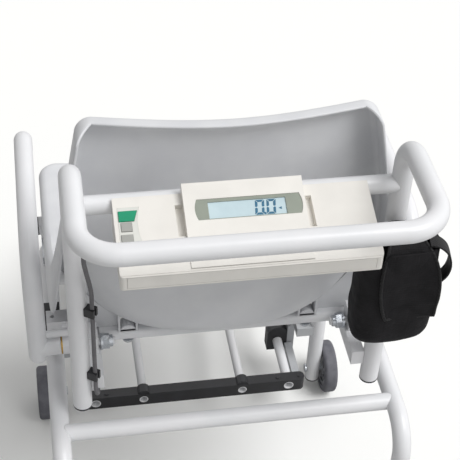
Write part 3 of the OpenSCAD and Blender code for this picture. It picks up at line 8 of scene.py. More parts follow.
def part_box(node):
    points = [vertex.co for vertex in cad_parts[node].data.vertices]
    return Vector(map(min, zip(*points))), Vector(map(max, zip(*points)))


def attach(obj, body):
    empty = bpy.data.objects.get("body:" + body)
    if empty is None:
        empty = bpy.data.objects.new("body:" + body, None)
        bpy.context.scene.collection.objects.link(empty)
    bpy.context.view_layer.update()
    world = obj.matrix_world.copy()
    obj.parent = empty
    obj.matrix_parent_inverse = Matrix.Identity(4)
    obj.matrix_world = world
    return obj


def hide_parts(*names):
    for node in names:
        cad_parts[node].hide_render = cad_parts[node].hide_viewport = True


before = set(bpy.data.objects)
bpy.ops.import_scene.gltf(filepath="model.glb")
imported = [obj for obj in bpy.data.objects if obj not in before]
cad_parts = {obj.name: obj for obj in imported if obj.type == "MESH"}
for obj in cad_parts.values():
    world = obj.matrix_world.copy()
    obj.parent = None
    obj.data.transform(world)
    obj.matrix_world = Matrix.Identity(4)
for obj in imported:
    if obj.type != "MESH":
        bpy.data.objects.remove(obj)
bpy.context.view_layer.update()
scene = bpy.context.scene
FRAME_BODY = "frame"

# The uprights' axis is the chair's own zero in Y, as in the part's source.
cross_low, cross_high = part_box("cross_tube")
UPRIGHT_Y = (cross_low.y + cross_high.y) / 2


def chair(x, y, z):
    """Point in metres from millimetres across, in front of the uprights and above the floor."""
    return Vector((x / 1000, UPRIGHT_Y + y / 1000, z / 1000))


# Camera: solved from the photograph's tube lines, standing behind and above the chair.
def photo_camera():
    data = bpy.data.cameras.new("photo_camera")
    data.sensor_width = 36
    data.lens = 95.21
    data.clip_start = 0.05
    data.clip_end = 60
    camera = bpy.data.objects.new("photo_camera", data)
    scene.collection.objects.link(camera)
    yaw, pitch, roll = math.radians(11.22), math.radians(41.4), math.radians(3.06)
    ahead = Vector((math.sin(yaw) * math.cos(pitch), math.cos(yaw) * math.cos(pitch), -math.sin(pitch)))
    level_right = Vector((math.cos(yaw), -math.sin(yaw), 0))
    level_up = level_right.cross(ahead)
    right = math.cos(roll) * level_right + math.sin(roll) * level_up
    up = -math.sin(roll) * level_right + math.cos(roll) * level_up
    turn = Matrix((right, up, -ahead)).transposed()
    camera.matrix_world = Matrix.Translation(chair(-236.34, -1142.84, 1791.89)) @ turn.to_4x4()
    scene.camera = camera


photo_camera()
scene.view_settings.view_transform = "Standard"


# Materials


def linear(hex_colour):
    """Linear RGBA from an sRGB hex value."""
    parts = [int(hex_colour[k:k + 2], 16) / 255 for k in (1, 3, 5)]
    return [c / 12.92 if c <= 0.04045 else ((c + 0.055) / 1.055) ** 2.4 for c in parts] + [1.0]


def add_node(tree, kind, inputs=None, **settings):
    """Adds a node, with its settings, and its inputs as values or as sockets to link."""
    node = tree.nodes.new(kind)
    for name, value in settings.items():
        setattr(node, name, value)
    for name, value in (inputs or {}).items():
        if isinstance(value, bpy.types.NodeSocket):
            tree.links.new(value, node.inputs[name])
        else:
            node.inputs[name].default_value = value
    return node


def finish(name, colour, roughness, **sockets):
    """New Principled material; returns it with its tree and shader."""
    material = bpy.data.materials.new(name)
    material.use_nodes = True
    tree = material.node_tree
    shader = tree.nodes["Principled BSDF"]
    shader.inputs["Base Color"].default_value = linear(colour)
    shader.inputs["Roughness"].default_value = roughness
    for socket, value in sockets.items():
        shader.inputs[socket.replace("_", " ")].default_value = value
    material.diffuse_color = linear(colour)
    return material, tree, shader


def relief(tree, shader, grain_mm, depth_mm, edge_mm=0.6, detail=2.0, rough=None):
    """Fine surface grain as bump, over edges rounded by edge_mm; rough is a roughness range."""
    place = add_node(tree, "ShaderNodeTexCoord").outputs["Object"]
    grain = add_node(tree, "ShaderNodeTexNoise",
                     {"Vector": place, "Scale": 1000 / grain_mm, "Detail": detail})
    edge = add_node(tree, "ShaderNodeBevel", {"Radius": edge_mm / 1000}, samples=4)
    bump = add_node(tree, "ShaderNodeBump", {
        "Height": grain.outputs["Fac"], "Strength": 1.0, "Distance": depth_mm / 1000,
        "Normal": edge.outputs["Normal"],
    })
    tree.links.new(bump.outputs["Normal"], shader.inputs["Normal"])
    if rough:
        spread = add_node(tree, "ShaderNodeMapRange", {
            "Value": grain.outputs["Fac"], "From Min": 0.3, "From Max": 0.7,
            "To Min": rough[0], "To Max": rough[1],
        })
        tree.links.new(spread.outputs["Result"], shader.inputs["Roughness"])
    return place, grain


def mottle(tree, shader, place, first, second, patch_mm, detail=3.0):
    """Base colour that drifts between two near tones over patches of patch_mm."""
    cloud = add_node(tree, "ShaderNodeTexNoise",
                     {"Vector": place, "Scale": 1000 / patch_mm, "Detail": detail})
    ramp = add_node(tree, "ShaderNodeMapRange", {
        "Value": cloud.outputs["Fac"], "From Min": 0.35, "From Max": 0.65,
    })
    mix = add_node(tree, "ShaderNodeMix", {
        0: ramp.outputs["Result"], 6: linear(first), 7: linear(second),
    }, data_type="RGBA")
    tree.links.new(mix.outputs[2], shader.inputs["Base Color"])


def powder_coat(name, first, second):
    """Polyester powder on steel: a satin white skin with a faint orange peel.

    The real peel is 1 to 2 mm across and is drawn 3 mm wide so that it shows."""
    material, tree, shader = finish(name, first, 0.36, Coat_Weight=0.15, Coat_Roughness=0.2)
    place, _ = relief(tree, shader, 3.0, 0.035, 0.7, rough=(0.32, 0.42))
    mottle(tree, shader, place, first, second, 60)
    return material


def moulded(name, first, second, roughness, grain_mm, depth_mm, edge_mm=0.7):
    """Injection moulded plastic: even colour, spark eroded grain, soft broad highlights."""
    material, tree, shader = finish(name, first, roughness)
    place, _ = relief(tree, shader, grain_mm, depth_mm, edge_mm,
                      rough=(roughness - 0.05, roughness + 0.07))
    mottle(tree, shader, place, first, second, 45)
    return material


def plated(name, first, second, roughness, brushed=None):
    """Plated or bare metal: the tone drifts a little, fine lines where it is drawn or brushed."""
    material, tree, shader = finish(name, first, roughness, Metallic=1.0)
    place, _ = relief(tree, shader, 1.2, 0.01, 0.35, rough=(roughness - 0.07, roughness + 0.1))
    if brushed:
        stretch = add_node(tree, "ShaderNodeMapping", {"Vector": place, "Scale": brushed})
        lines = add_node(tree, "ShaderNodeTexNoise",
                         {"Vector": stretch.outputs["Vector"], "Scale": 900.0, "Detail": 2.0})
        spread = add_node(tree, "ShaderNodeMapRange", {
            "Value": lines.outputs["Fac"], "To Min": roughness - 0.12, "To Max": roughness + 0.15,
        })
        tree.links.new(spread.outputs["Result"], shader.inputs["Roughness"])
    mottle(tree, shader, place, first, second, 9)
    return material


def rubber(name, first, second, grain_mm=1.5, depth_mm=0.05):
    """Grey or black rubber: matt, dusty, no clear highlight."""
    material, tree, shader = finish(name, first, 0.7, IOR=1.52)
    place, _ = relief(tree, shader, grain_mm, depth_mm, 0.8, detail=4.0, rough=(0.62, 0.82))
    mottle(tree, shader, place, first, second, 14)
    return material


def nylon_weave(name):
    """Black coated nylon, a plain weave of about 0.5 mm threads drawn at 1.6 mm so that it shows."""
    material, tree, shader = finish(name, "#141315", 0.75, Specular_IOR_Level=0.2, Sheen_Weight=0.05,
                                    Sheen_Roughness=0.5, Sheen_Tint=linear("#8A8A90"))
    uv = add_node(tree, "ShaderNodeUVMap", uv_map="cloth").outputs["UV"]
    across = add_node(tree, "ShaderNodeTexWave",
                      {"Vector": uv, "Scale": 100.0, "Distortion": 0.6, "Detail": 1.0},
                      bands_direction="X")
    along = add_node(tree, "ShaderNodeTexWave",
                     {"Vector": uv, "Scale": 100.0, "Distortion": 0.6, "Detail": 1.0},
                     bands_direction="Y")
    weave = add_node(tree, "ShaderNodeMath",
                     {0: across.outputs["Fac"], 1: along.outputs["Fac"]}, operation="MULTIPLY")
    place = add_node(tree, "ShaderNodeTexCoord").outputs["Object"]
    crease = add_node(tree, "ShaderNodeTexNoise", {"Vector": place, "Scale": 45.0, "Detail": 4.0})
    folds = add_node(tree, "ShaderNodeBump", {
        "Height": crease.outputs["Fac"], "Strength": 0.9, "Distance": 0.004,
    })
    bump = add_node(tree, "ShaderNodeBump", {
        "Height": weave.outputs["Value"], "Strength": 0.5, "Distance": 0.0004,
        "Normal": folds.outputs["Normal"],
    })
    tree.links.new(bump.outputs["Normal"], shader.inputs["Normal"])
    mottle(tree, shader, place, "#0F0E10", "#1A191B", 30)
    return material


def webbing_weave(name):
    """Black polypropylene webbing: slanting ribs 2 mm apart, tighter and glossier than the bag."""
    material, tree, shader = finish(name, "#0E0D0F", 0.5, Specular_IOR_Level=0.25, Sheen_Weight=0.04)
    uv = add_node(tree, "ShaderNodeUVMap", uv_map="cloth").outputs["UV"]
    ribs = add_node(tree, "ShaderNodeTexWave", {"Vector": uv, "Scale": 160.0, "Distortion": 0.4},
                    bands_direction="DIAGONAL")
    bump = add_node(tree, "ShaderNodeBump", {
        "Height": ribs.outputs["Fac"], "Strength": 0.6, "Distance": 0.0005,
    })
    tree.links.new(bump.outputs["Normal"], shader.inputs["Normal"])
    place = add_node(tree, "ShaderNodeTexCoord").outputs["Object"]
    mottle(tree, shader, place, "#0B0A0C", "#151416", 12)
    return material


def glossy_print(name, first, second, roughness):
    """Screen printed polycarbonate or LCD glass: smooth, with a clear skin over the colour."""
    material, tree, shader = finish(name, first, roughness, Coat_Weight=0.6, Coat_Roughness=0.08,
                                    IOR=1.58)
    place, _ = relief(tree, shader, 6.0, 0.006, 0.3)
    mottle(tree, shader, place, first, second, 25)
    return material


frame_paint = powder_coat("powder_coated_tube", "#E6E6E8", "#E1E2E4")
bracket_paint = powder_coat("powder_coated_bracket", "#B4B6B8", "#ABADB0")
black_nylon = moulded("black_polyamide", "#1D1D1F", "#26262A", 0.45, 1.5, 0.02)
shell_plastic = moulded("shell_polypropylene", "#DADBDD", "#D4D5D8", 0.42, 2.5, 0.03, 1.0)
console_abs = moulded("console_abs", "#EAE7E1", "#E4E1DB", 0.4, 1.6, 0.02)
box_abs = moulded("junction_box_abs", "#CBCCC9", "#C3C4C1", 0.45, 1.6, 0.02)
wheel_plastic = moulded("wheel_polypropylene", "#8E8F94", "#86878C", 0.4, 1.6, 0.02)
zinc_plate = plated("zinc_plated_steel", "#C6C9CD", "#B7BCC2", 0.3)
brass = plated("turned_brass", "#C8A45C", "#B8934A", 0.32)
cell_aluminium = plated("milled_aluminium", "#C4C6C9", "#B9BCC0", 0.34, brushed=(1.0, 0.03, 1.0))
lead_pvc = rubber("grey_lead_pvc", "#6D6C6F", "#646366", 2.0, 0.02)
tyre_rubber = rubber("grey_tyre_rubber", "#6A6A70", "#5C5C63")
mat_rubber = rubber("ribbed_mat_rubber", "#3A3A3D", "#2F2F32")
window_print = glossy_print("printed_window", "#8D9487", "#878E82", 0.25)
lcd_glass = glossy_print("lcd_polariser", "#C5D9DF", "#BCD1D8", 0.2)
digit_ink = glossy_print("lcd_segments", "#075A78", "#0A6283", 0.25)
board_laminate = glossy_print("board_laminate", "#2F6B45", "#296140", 0.35)
keypad_film = glossy_print("keypad_film", "#DCDCD6", "#D5D5CF", 0.35)
green_key = moulded("green_key_cap", "#04916A", "#048A64", 0.35, 1.2, 0.01, 0.4)
grey_key = moulded("grey_key_cap", "#A6A6A2", "#A0A09B", 0.4, 1.2, 0.01, 0.4)
battery_wrap = glossy_print("battery_wrap", "#3D6F8F", "#376684", 0.3)
pouch_cloth = nylon_weave("pouch_nylon")
strap_webbing = webbing_weave("strap_webbing")

NODE_FINISHES = (
    (frame_paint, "push_frame cross_tube seat_frame seat_cross_bars armrest_left armrest_right"
     " side_frame_left side_frame_right base_cross_tubes footrest_tubes footplate"),
    (bracket_paint, "back_brackets footrest_rails guide_brackets"),
    (black_nylon, "tube_plugs bar_end_caps load_cell_covers lead_glands lead_clips"
     " castor_pedal_left castor_pedal_right footrest_end_bar guide_blocks console_clamps"),
    (shell_plastic, "seat_shell"),
    (zinc_plate, "seat_bolts pivot_nut_left pivot_nut_right load_cell_bolts front_axles"
     " castor_stems castor_fork_left castor_fork_right console_screws"),
    (brass, "pivot_washers"),
    (cell_aluminium, "load_cells"),
    (box_abs, "junction_box junction_lid"),
    (lead_pvc, "sensor_lead"),
    (wheel_plastic, "front_wheel_left front_wheel_right"),
    (tyre_rubber, "front_tyre_left front_tyre_right castor_wheel_left castor_wheel_right"),
    (mat_rubber, "footplate_mat"),
    (console_abs, "console_base console_cover battery_door"),
    (window_print, "display_window"),
    (lcd_glass, "lcd_module"),
    (board_laminate, "main_circuit_board"),
    (keypad_film, "keypad_membrane"),
    (green_key, "key_start"),
    (grey_key, "key_hold key_mode"),
    (battery_wrap, "batteries"),
    (pouch_cloth, "accessory_pouch pouch_straps"),
)
for material, nodes in NODE_FINISHES:
    for node in nodes.split():
        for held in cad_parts[node].material_slots:
            held.material = material


# Mesh making


def new_piece(name, points, faces, material, crease=40, uvs=None):
    """Mesh object from points in metres, smooth but for edges over crease degrees."""
    mesh = bpy.data.meshes.new(name)
    mesh.from_pydata([tuple(p) for p in points], [], faces)
    mesh.update()
    if uvs:
        layer = mesh.uv_layers.new(name="cloth")
        for loop in mesh.loops:
            layer.data[loop.index].uv = uvs[loop.vertex_index]
    mesh.shade_smooth()
    mesh.set_sharp_from_angle(angle=math.radians(crease))
    mesh.materials.append(material)
    piece = bpy.data.objects.new(name, mesh)
    scene.collection.objects.link(piece)
    return piece


def tidy_mesh(piece, weld=1e-6):
    """Merges doubles and turns the faces outwards."""
    work = bmesh.new()
    work.from_mesh(piece.data)
    bmesh.ops.remove_doubles(work, verts=work.verts, dist=weld)
    bmesh.ops.recalc_face_normals(work, faces=work.faces)
    work.to_mesh(piece.data)
    work.free()


def quads(rows, cols, closed=False, base=0, flip=False):
    """Faces of a grid of points kept row by row; closed joins each row's ends."""
    made = []
    for i in range(rows - 1):
        for j in range(cols if closed else cols - 1):
            k = (j + 1) % cols
            face = (base + i * cols + j, base + i * cols + k, base + (i + 1) * cols + k,
                    base + (i + 1) * cols + j)
            made.append(face[::-1] if flip else face)
    return made


def between(p0, p1, p2, p3, t):
    """Number or vector at share t of the way from p1 to p2, on a smooth curve through all four."""
    return 0.5 * (2 * p1 + (p2 - p0) * t + (2 * p0 - 5 * p1 + 4 * p2 - p3) * t * t
                  + (3 * p1 - p0 - 3 * p2 + p3) * t ** 3)


def spline(points, steps):
    """Points on a smooth curve through the given ones."""
    made = []
    for k in range(len(points) - 1):
        p0, p1 = points[max(0, k - 1)], points[k]
        p2, p3 = points[k + 1], points[min(len(points) - 1, k + 2)]
        made += [between(p0, p1, p2, p3, s / steps) for s in range(steps)]
    return made + [points[-1]]


def sweep(path, profile, side, closed=False):
    """Points and quads of a profile, as [across, up] pairs, carried along a path without twist."""
    points = []
    count = len(path)
    for k, here in enumerate(path):
        if closed:
            ahead = path[(k + 1) % count] - path[k - 1]
        else:
            ahead = path[min(count - 1, k + 1)] - path[max(0, k - 1)]
        ahead = ahead.normalized()
        side = (side - ahead * side.dot(ahead)).normalized()
        up = ahead.cross(side)
        points += [here + side * a + up * b for a, b in profile]
    faces = quads(count, len(profile), closed=True)
    if closed:
        last = (count - 1) * len(profile)
        n = len(profile)
        faces += [(last + j, last + (j + 1) % n, (j + 1) % n, j) for j in range(n)]
    else:
        faces.append(tuple(range(len(profile)))[::-1])
        faces.append(tuple((count - 1) * len(profile) + j for j in range(len(profile))))
    return points, faces


def circle(radius, count):
    """Pairs round a circle about zero."""
    return [(radius * math.cos(math.tau * k / count), radius * math.sin(math.tau * k / count))
            for k in range(count)]


# Seat shell
# The same sheet as the part's source gives, with finer rows and a rounded rim.

PAN_HALF, BACK_HALF, WIDENING_Z, BACK_TOP_Z, TAPER = 243, 190, 530, 905, 1.35
BACK_Y, BACK_BOW, BACK_LEAN, PAN_Z, PAN_BOW = 37, 32, 0.045, 520, 10
BUCKET_R, BUCKET_SIDE_R, BUCKET_POWER, PAN_FRONT_Y, SHELL_T = 43, 240, 3.2, 462, 4
TOP_R, FRONT_R, FILLET, SHELL_X, PAD_Z = 20, 30, 12, -5, 773
RIM_D, RIM_SIDE_D, RIM_BEND_D, RIM_BEND_ANGLE = 18, 40, 70, 50
RIM_TURNS = [math.radians(a) for a in (18, 36, 54, 72, 90)]
ROWS_AT = (12, 20, 26, 16, 12)
COLS = 73

# Fixings moulded under the sheet, over the rear beam and the side bars
BEAM_Y, BEAM_T, RIB_T, RIB_XS = 70, 25, 3, (119, 144)
SADDLE_X, SADDLE_R, SADDLE_HALF, SADDLE_L, SADDLE_T = 131.5, 11, 11.5, 18, 3
SADDLE_Y, SKIRT_Y, SKIRT_X, SKIRT_L = BEAM_Y + 3, BEAM_Y + 15, 144, 61
BOSS_X, BOSS_Y, BOSS_R, BOSS_DROP = 186.5, 350, 10, 5
PAD_X, PAD_R = 95, 15


def half_width(z):
    rise = max(0, (z - WIDENING_Z) / (BACK_TOP_Z - WIDENING_Z))
    return PAN_HALF - (PAN_HALF - BACK_HALF) * rise ** TAPER


def bucket_radius(q):
    return BUCKET_R + (BUCKET_SIDE_R - BUCKET_R) * abs(q) ** BUCKET_POWER


def back_face(z, q):
    rise = max(0, z - PAN_Z - PAN_BOW * q * q - bucket_radius(q))
    return BACK_Y + BACK_BOW * q * q + BACK_LEAN * rise


def shell_rows():
    """Rows of the sheet, as (stage, share): top corner, backrest, bend, pan, front corner."""
    rows = []
    for stage, count in enumerate(ROWS_AT):
        for k in range(count):
            rows.append((stage, k / (count - 1) if stage in (0, 4) else (k + 1) / count))
    return rows


def side_view(row, q):
    """Rear face of the sheet at a row: y, z and the way to the sitter's side."""
    stage, share = row
    r = bucket_radius(q)
    base = PAN_Z + PAN_BOW * q * q
    top = BACK_TOP_Z - FILLET
    front = PAN_FRONT_Y - FILLET
    y0 = back_face(0, q)
    if stage == 0:
        z = top - (TOP_R - FILLET) * (1 - math.cos(math.pi / 2 * share))
        return back_face(z, q), z, 1, 0
    if stage == 1:
        z = (top - (TOP_R - FILLET)) * (1 - share) + (base + r) * share
        return back_face(z, q), z, 1, 0
    if stage == 2:
        a = math.pi / 2 * share
        return y0 + r - r * math.cos(a), base + r - r * math.sin(a), math.cos(a), math.sin(a)
    if stage == 3:
        return (y0 + r) * (1 - share) + (front - FRONT_R + FILLET) * share, base, 0, 1
    return front - (FRONT_R - FILLET) * (1 - math.sin(math.pi / 2 * share)), base, 0, 1


def corner_cut(row):
    stage, share = row
    if stage == 0:
        return (TOP_R - FILLET) * (1 - math.sin(math.pi / 2 * share))
    if stage == 4:
        return (FRONT_R - FILLET) * (1 - math.cos(math.pi / 2 * share))
    return 0


def sheet_point(row, q, offset):
    y, z, ny, nz = side_view(row, q)
    x = q * (half_width(z) - FILLET - corner_cut(row))
    return Vector((x, y + ny * offset, z + nz * offset))


def outward(row, s):
    stage, share = row
    a = math.pi / 2 * share
    if stage == 0:
        return Vector((0, 0, 1)) if s == 0 else Vector((s * math.sin(a), 0, math.cos(a)))
    if stage == 4:
        return Vector((0, 1, 0)) if s == 0 else Vector((s * math.cos(a), math.sin(a), 0))
    return Vector((s, 0, 0))


def rim_depth(row):
    stage, share = row
    if stage == 0:
        return RIM_D + (RIM_SIDE_D - RIM_D) * math.sin(math.pi / 2 * share)
    if stage == 1:
        return RIM_SIDE_D
    if stage == 2:
        g = 90 * share
        if g < RIM_BEND_ANGLE:
            swell = math.sin(math.pi / 2 * g / RIM_BEND_ANGLE) ** 2
            return RIM_SIDE_D + (RIM_BEND_D - RIM_SIDE_D) * swell
        rest = (g - RIM_BEND_ANGLE) / (90 - RIM_BEND_ANGLE)
        return RIM_D + (RIM_BEND_D - RIM_D) * math.cos(math.pi / 2 * rest) ** 2
    return RIM_D


def under_z(x, y):
    """Middle of the shell's wall over a place of its underside."""
    q = abs(x) / (PAN_HALF - FILLET)
    r = bucket_radius(q)
    c = back_face(0, q) + r
    base = PAN_Z + PAN_BOW * q * q
    if y >= c:
        return base + SHELL_T / 2
    return base + r - math.sqrt(max(0, (r - SHELL_T / 2) ** 2 - (c - y) ** 2))


def shell_sheet():
    """Both faces of the sheet with its turned rim, as one closed wall."""
    rows = shell_rows()
    shares = [2 * j / (COLS - 1) - 1 for j in range(COLS)]
    edge = [(0, j) for j in range(COLS)] + [(i, COLS - 1) for i in range(1, len(rows))]
    edge += [(len(rows) - 1, j) for j in range(COLS - 2, -1, -1)]
    edge += [(i, 0) for i in range(len(rows) - 2, 0, -1)]
    points, faces = [], []
    ring_bases = []
    for offset, r, flip in ((SHELL_T, FILLET, False), (0, FILLET - SHELL_T, True)):
        base = len(points)
        points += [sheet_point(row, q, offset) for row in rows for q in shares]
        faces += quads(len(rows), COLS, base=base, flip=flip)
        rings = []
        for i, j in edge:
            row, q = rows[i], shares[j]
            _, _, ny, nz = side_view(row, q)
            n = Vector((0, ny, nz))
            c = sheet_point(row, q, offset)
            e = outward(row, -1 if j == 0 else 1 if j == COLS - 1 else 0)
            ring = [c + e * r * math.sin(a) - n * r * (1 - math.cos(a)) for a in RIM_TURNS]
            depth = rim_depth(row) + offset
            # The wall stops short of the rim's end by what its rounding takes
            stop = depth - SHELL_T / 2
            ring.append(c + e * r - n * ((r + stop) / 2))
            ring.append(c + e * r - n * stop)
            side = 1 if offset else -1
            middle = SHELL_T / 2 * side
            for a in (math.radians(36), math.radians(72)):
                ring.append(c + e * (r - middle + middle * math.cos(a))
                            - n * (stop + SHELL_T / 2 * math.sin(a)))
            rings.append(ring)
        ring_base = len(points)
        for ring in rings:
            points += ring
        wide = len(rings[0])
        for k, (i, j) in enumerate(edge):
            k2 = (k + 1) % len(edge)
            i2, j2 = edge[k2]
            first = (base + i * COLS + j, base + i2 * COLS + j2,
                     ring_base + k2 * wide, ring_base + k * wide)
            faces.append(first if flip else first[::-1])
            for m in range(wide - 1):
                face = (ring_base + k * wide + m, ring_base + k2 * wide + m,
                        ring_base + k2 * wide + m + 1, ring_base + k * wide + m + 1)
                faces.append(face if flip else face[::-1])
        ring_bases.append(ring_base)
    outer_base, inner_base = ring_bases
    for k in range(len(edge)):
        k2 = (k + 1) % len(edge)
        faces.append((outer_base + k * wide + wide - 1, outer_base + k2 * wide + wide - 1,
                      inner_base + k2 * wide + wide - 1, inner_base + k * wide + wide - 1))
    return [chair(p.x + SHELL_X, p.y, p.z) for p in points], faces


def prism(outline, start, end, axis):
    """Closed prism of an outline drawn out along one axis; outline points are chair millimetres."""
    n = len(outline)
    shift = Vector([end - start if k == axis else 0 for k in range(3)]) / 1000
    points = [chair(*p) for p in outline]
    points += [p + shift for p in points]
    faces = [tuple(range(n))[::-1], tuple(range(n, 2 * n))]
    faces += [(k, (k + 1) % n, n + (k + 1) % n, n + k) for k in range(n)]
    return points, faces


def join_parts(parts):
    points, faces = [], []
    for more, more_faces in parts:
        base = len(points)
        points += more
        faces += [tuple(base + k for k in face) for face in more_faces]
    return points, faces


def shell_fixings(s):
    """Ribs, saddle, skirt, boss and backrest pad of the left (-1) or right (1) half."""
    parts = []
    for x in RIB_XS:
        ys = [BEAM_Y + 2 + (BEAM_T - 4) * k / 10 for k in range(11)]
        x0 = SHELL_X + s * x - RIB_T / 2
        outline = [(x0, ys[0], PAN_Z)] + [(x0, y, under_z(x, y)) for y in ys] + [(x0, ys[-1], PAN_Z)]
        parts.append(prism(outline, 0, RIB_T, 0))
    middle = SHELL_X + s * SADDLE_X
    turns = [math.pi * k / 24 for k in range(25)]
    arch = [(middle + SADDLE_R * math.cos(a), SADDLE_Y, PAN_Z + SADDLE_R * math.sin(a)) for a in turns]
    parts.append(prism(arch, 0, SADDLE_L, 1))
    left, right = middle - SADDLE_HALF, middle + SADDLE_HALF
    slab = [(left, SADDLE_Y, PAN_Z), (right, SADDLE_Y, PAN_Z),
            (right, SADDLE_Y, PAN_Z + SADDLE_T), (left, SADDLE_Y, PAN_Z + SADDLE_T)]
    parts.append(prism(slab, 0, SADDLE_L, 1))
    xs = [SKIRT_X + SKIRT_L * k / 12 for k in range(13)]
    outline = [(SHELL_X + s * xs[0], SKIRT_Y, PAN_Z)]
    outline += [(SHELL_X + s * x, SKIRT_Y, under_z(x, SKIRT_Y + RIB_T / 2)) for x in xs]
    outline += [(SHELL_X + s * xs[-1], SKIRT_Y, PAN_Z)]
    parts.append(prism(outline, 0, RIB_T, 1))
    low, high = PAN_Z - BOSS_DROP, under_z(BOSS_X - s * SHELL_X - BOSS_R + 2, BOSS_Y + BOSS_R - 2)
    boss = [(s * BOSS_X + a, BOSS_Y + b, low) for a, b in circle(BOSS_R, 32)]
    parts.append(prism(boss, 0, high - low, 2))
    pad = [(SHELL_X + s * PAD_X + a, BACK_Y + 1, PAD_Z + b) for a, b in circle(PAD_R, 40)]
    reach = back_face(PAD_Z, PAD_X / half_width(PAD_Z)) + SHELL_T / 2 - BACK_Y - 1
    parts.append(prism(pad, 0, reach, 1))
    return parts


def make_seat_shell():
    parts = [shell_sheet()] + shell_fixings(-1) + shell_fixings(1)
    points, faces = join_parts(parts)
    piece = new_piece("shell_moulding", points, faces, shell_plastic, crease=35)
    tidy_mesh(piece)
    piece.data.set_sharp_from_angle(angle=math.radians(35))
    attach(piece, FRAME_BODY)
    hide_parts("seat_shell")


make_seat_shell()

# Sensor lead

LEAD_ROUTE = [
    (-168, -62, 800), (-177, -62, 803), (-188, -60, 806), (-197, -56, 797), (-199, -48, 775),
    (-196, -32, 740), (-192, -18, 705), (-190, -12, 683), (-190, -12, 668), (-190, -12, 620),
    (-190, -12, 575), (-190, -12, 540), (-190, -12, 512), (-190, -12, 500), (-189, -12, 490),
    (-187, -6, 484), (-186.5, 8, 482), (-186.5, 45, 483), (-186, 85, 484), (-170, 105, 490),
    (-152, 118, 497), (-150, 130, 498), (-150, 142, 498),
]
LEAD_D = 6


def make_sensor_lead():
    route = [chair(*p) for p in LEAD_ROUTE]
    points, faces = sweep(spline(route, 6), circle(LEAD_D / 2000, 16), Vector((0, 0, 1)))
    piece = new_piece("sensor_lead_smooth", points, faces, lead_pvc, crease=60)
    tidy_mesh(piece)
    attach(piece, FRAME_BODY)
    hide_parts("sensor_lead")


make_sensor_lead()

# Display

CONSOLE_REAR_Y, CONSOLE_REAR_Z = -112, 807
HOUSING_Y, HOUSING_Z, HOUSING_RISE = -6, 852, 1
HOUSING_SLOPE = math.atan2(HOUSING_Z - CONSOLE_REAR_Z - HOUSING_RISE, HOUSING_Y - CONSOLE_REAR_Y)


def on_housing(x, v, w):
    """Point on the display housing: across, up its slope and out of it, in millimetres."""
    c, s = math.cos(HOUSING_SLOPE), math.sin(HOUSING_SLOPE)
    return chair(x, CONSOLE_REAR_Y + v * c - w * s, CONSOLE_REAR_Z + HOUSING_RISE + v * s + w * c)


def plate(outlines, w_low, w_high):
    """Plate from outlines (x, v), each drawn out between two heights over the housing."""
    parts = []
    for outline in outlines:
        n = len(outline)
        points = [on_housing(x, v, w) for w in (w_low, w_high) for x, v in outline]
        faces = [tuple(range(n))[::-1], tuple(range(n, 2 * n))]
        faces += [(k, (k + 1) % n, n + (k + 1) % n, n + k) for k in range(n)]
        parts.append((points, faces))
    return join_parts(parts)


WINDOW_X, WINDOW_V, WINDOW_W, WINDOW_L, WINDOW_R = 4.5, 77.5, 132.84, 27.84, 33.92
WINDOW_SINK, WINDOW_T, WINDOW_STEPS = 1, 1.4, 96
LCD_LOW, LCD_HIGH = (-45.5, 64.65), (50.5, 87.15)
WINDOW_CORNER_X = WINDOW_W / 2 - WINDOW_R + math.sqrt(WINDOW_R ** 2 - (WINDOW_L / 2) ** 2)


def window_reach(angle):
    """Distance from the window's centre to its outline of two straight edges and two arched ends."""
    c, s = abs(math.cos(angle)), abs(math.sin(angle))
    centre = WINDOW_W / 2 - WINDOW_R
    if s > 1e-6 and WINDOW_L / 2 / s * c <= WINDOW_CORNER_X:
        return WINDOW_L / 2 / s
    return centre * c + math.sqrt(WINDOW_R ** 2 - (centre * s) ** 2)


def opening_reach(angle):
    """Distance from the window's centre to the edge of the clear field over the display."""
    c, s = math.cos(angle), math.sin(angle)
    reaches = []
    for along, low, high, middle in zip((c, s), LCD_LOW, LCD_HIGH, (WINDOW_X, WINDOW_V)):
        if abs(along) > 1e-6:
            reaches.append(((high if along > 0 else low) - middle) / along)
    return min(reaches)


def make_window():
    """Printed window with its clear field cut out, so that the display lies deeper."""
    corners = [math.atan2(sv * WINDOW_L / 2, su * WINDOW_CORNER_X)
               for su in (-1, 1) for sv in (-1, 1)]
    corners += [math.atan2(v - WINDOW_V, x - WINDOW_X) for x in (LCD_LOW[0], LCD_HIGH[0])
                for v in (LCD_LOW[1], LCD_HIGH[1])]
    angles = sorted([math.tau * k / WINDOW_STEPS - math.pi for k in range(WINDOW_STEPS)] + corners)
    top, bottom = -WINDOW_SINK, -WINDOW_SINK - WINDOW_T
    loops = []
    for reach, w in ((window_reach, top), (opening_reach, top),
                     (opening_reach, bottom), (window_reach, bottom)):
        loops.append([on_housing(WINDOW_X + reach(a) * math.cos(a),
                                 WINDOW_V + reach(a) * math.sin(a), w) for a in angles])
    n = len(angles)
    points = [p for loop in loops for p in loop]
    faces = []
    for k in range(4):
        low, high = k * n, (k + 1) % 4 * n
        faces += [(low + j, low + (j + 1) % n, high + (j + 1) % n, high + j) for j in range(n)]
    piece = new_piece("window_print", points, faces, window_print, crease=30)
    tidy_mesh(piece)
    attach(piece, FRAME_BODY)
    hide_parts("display_window")


make_window()

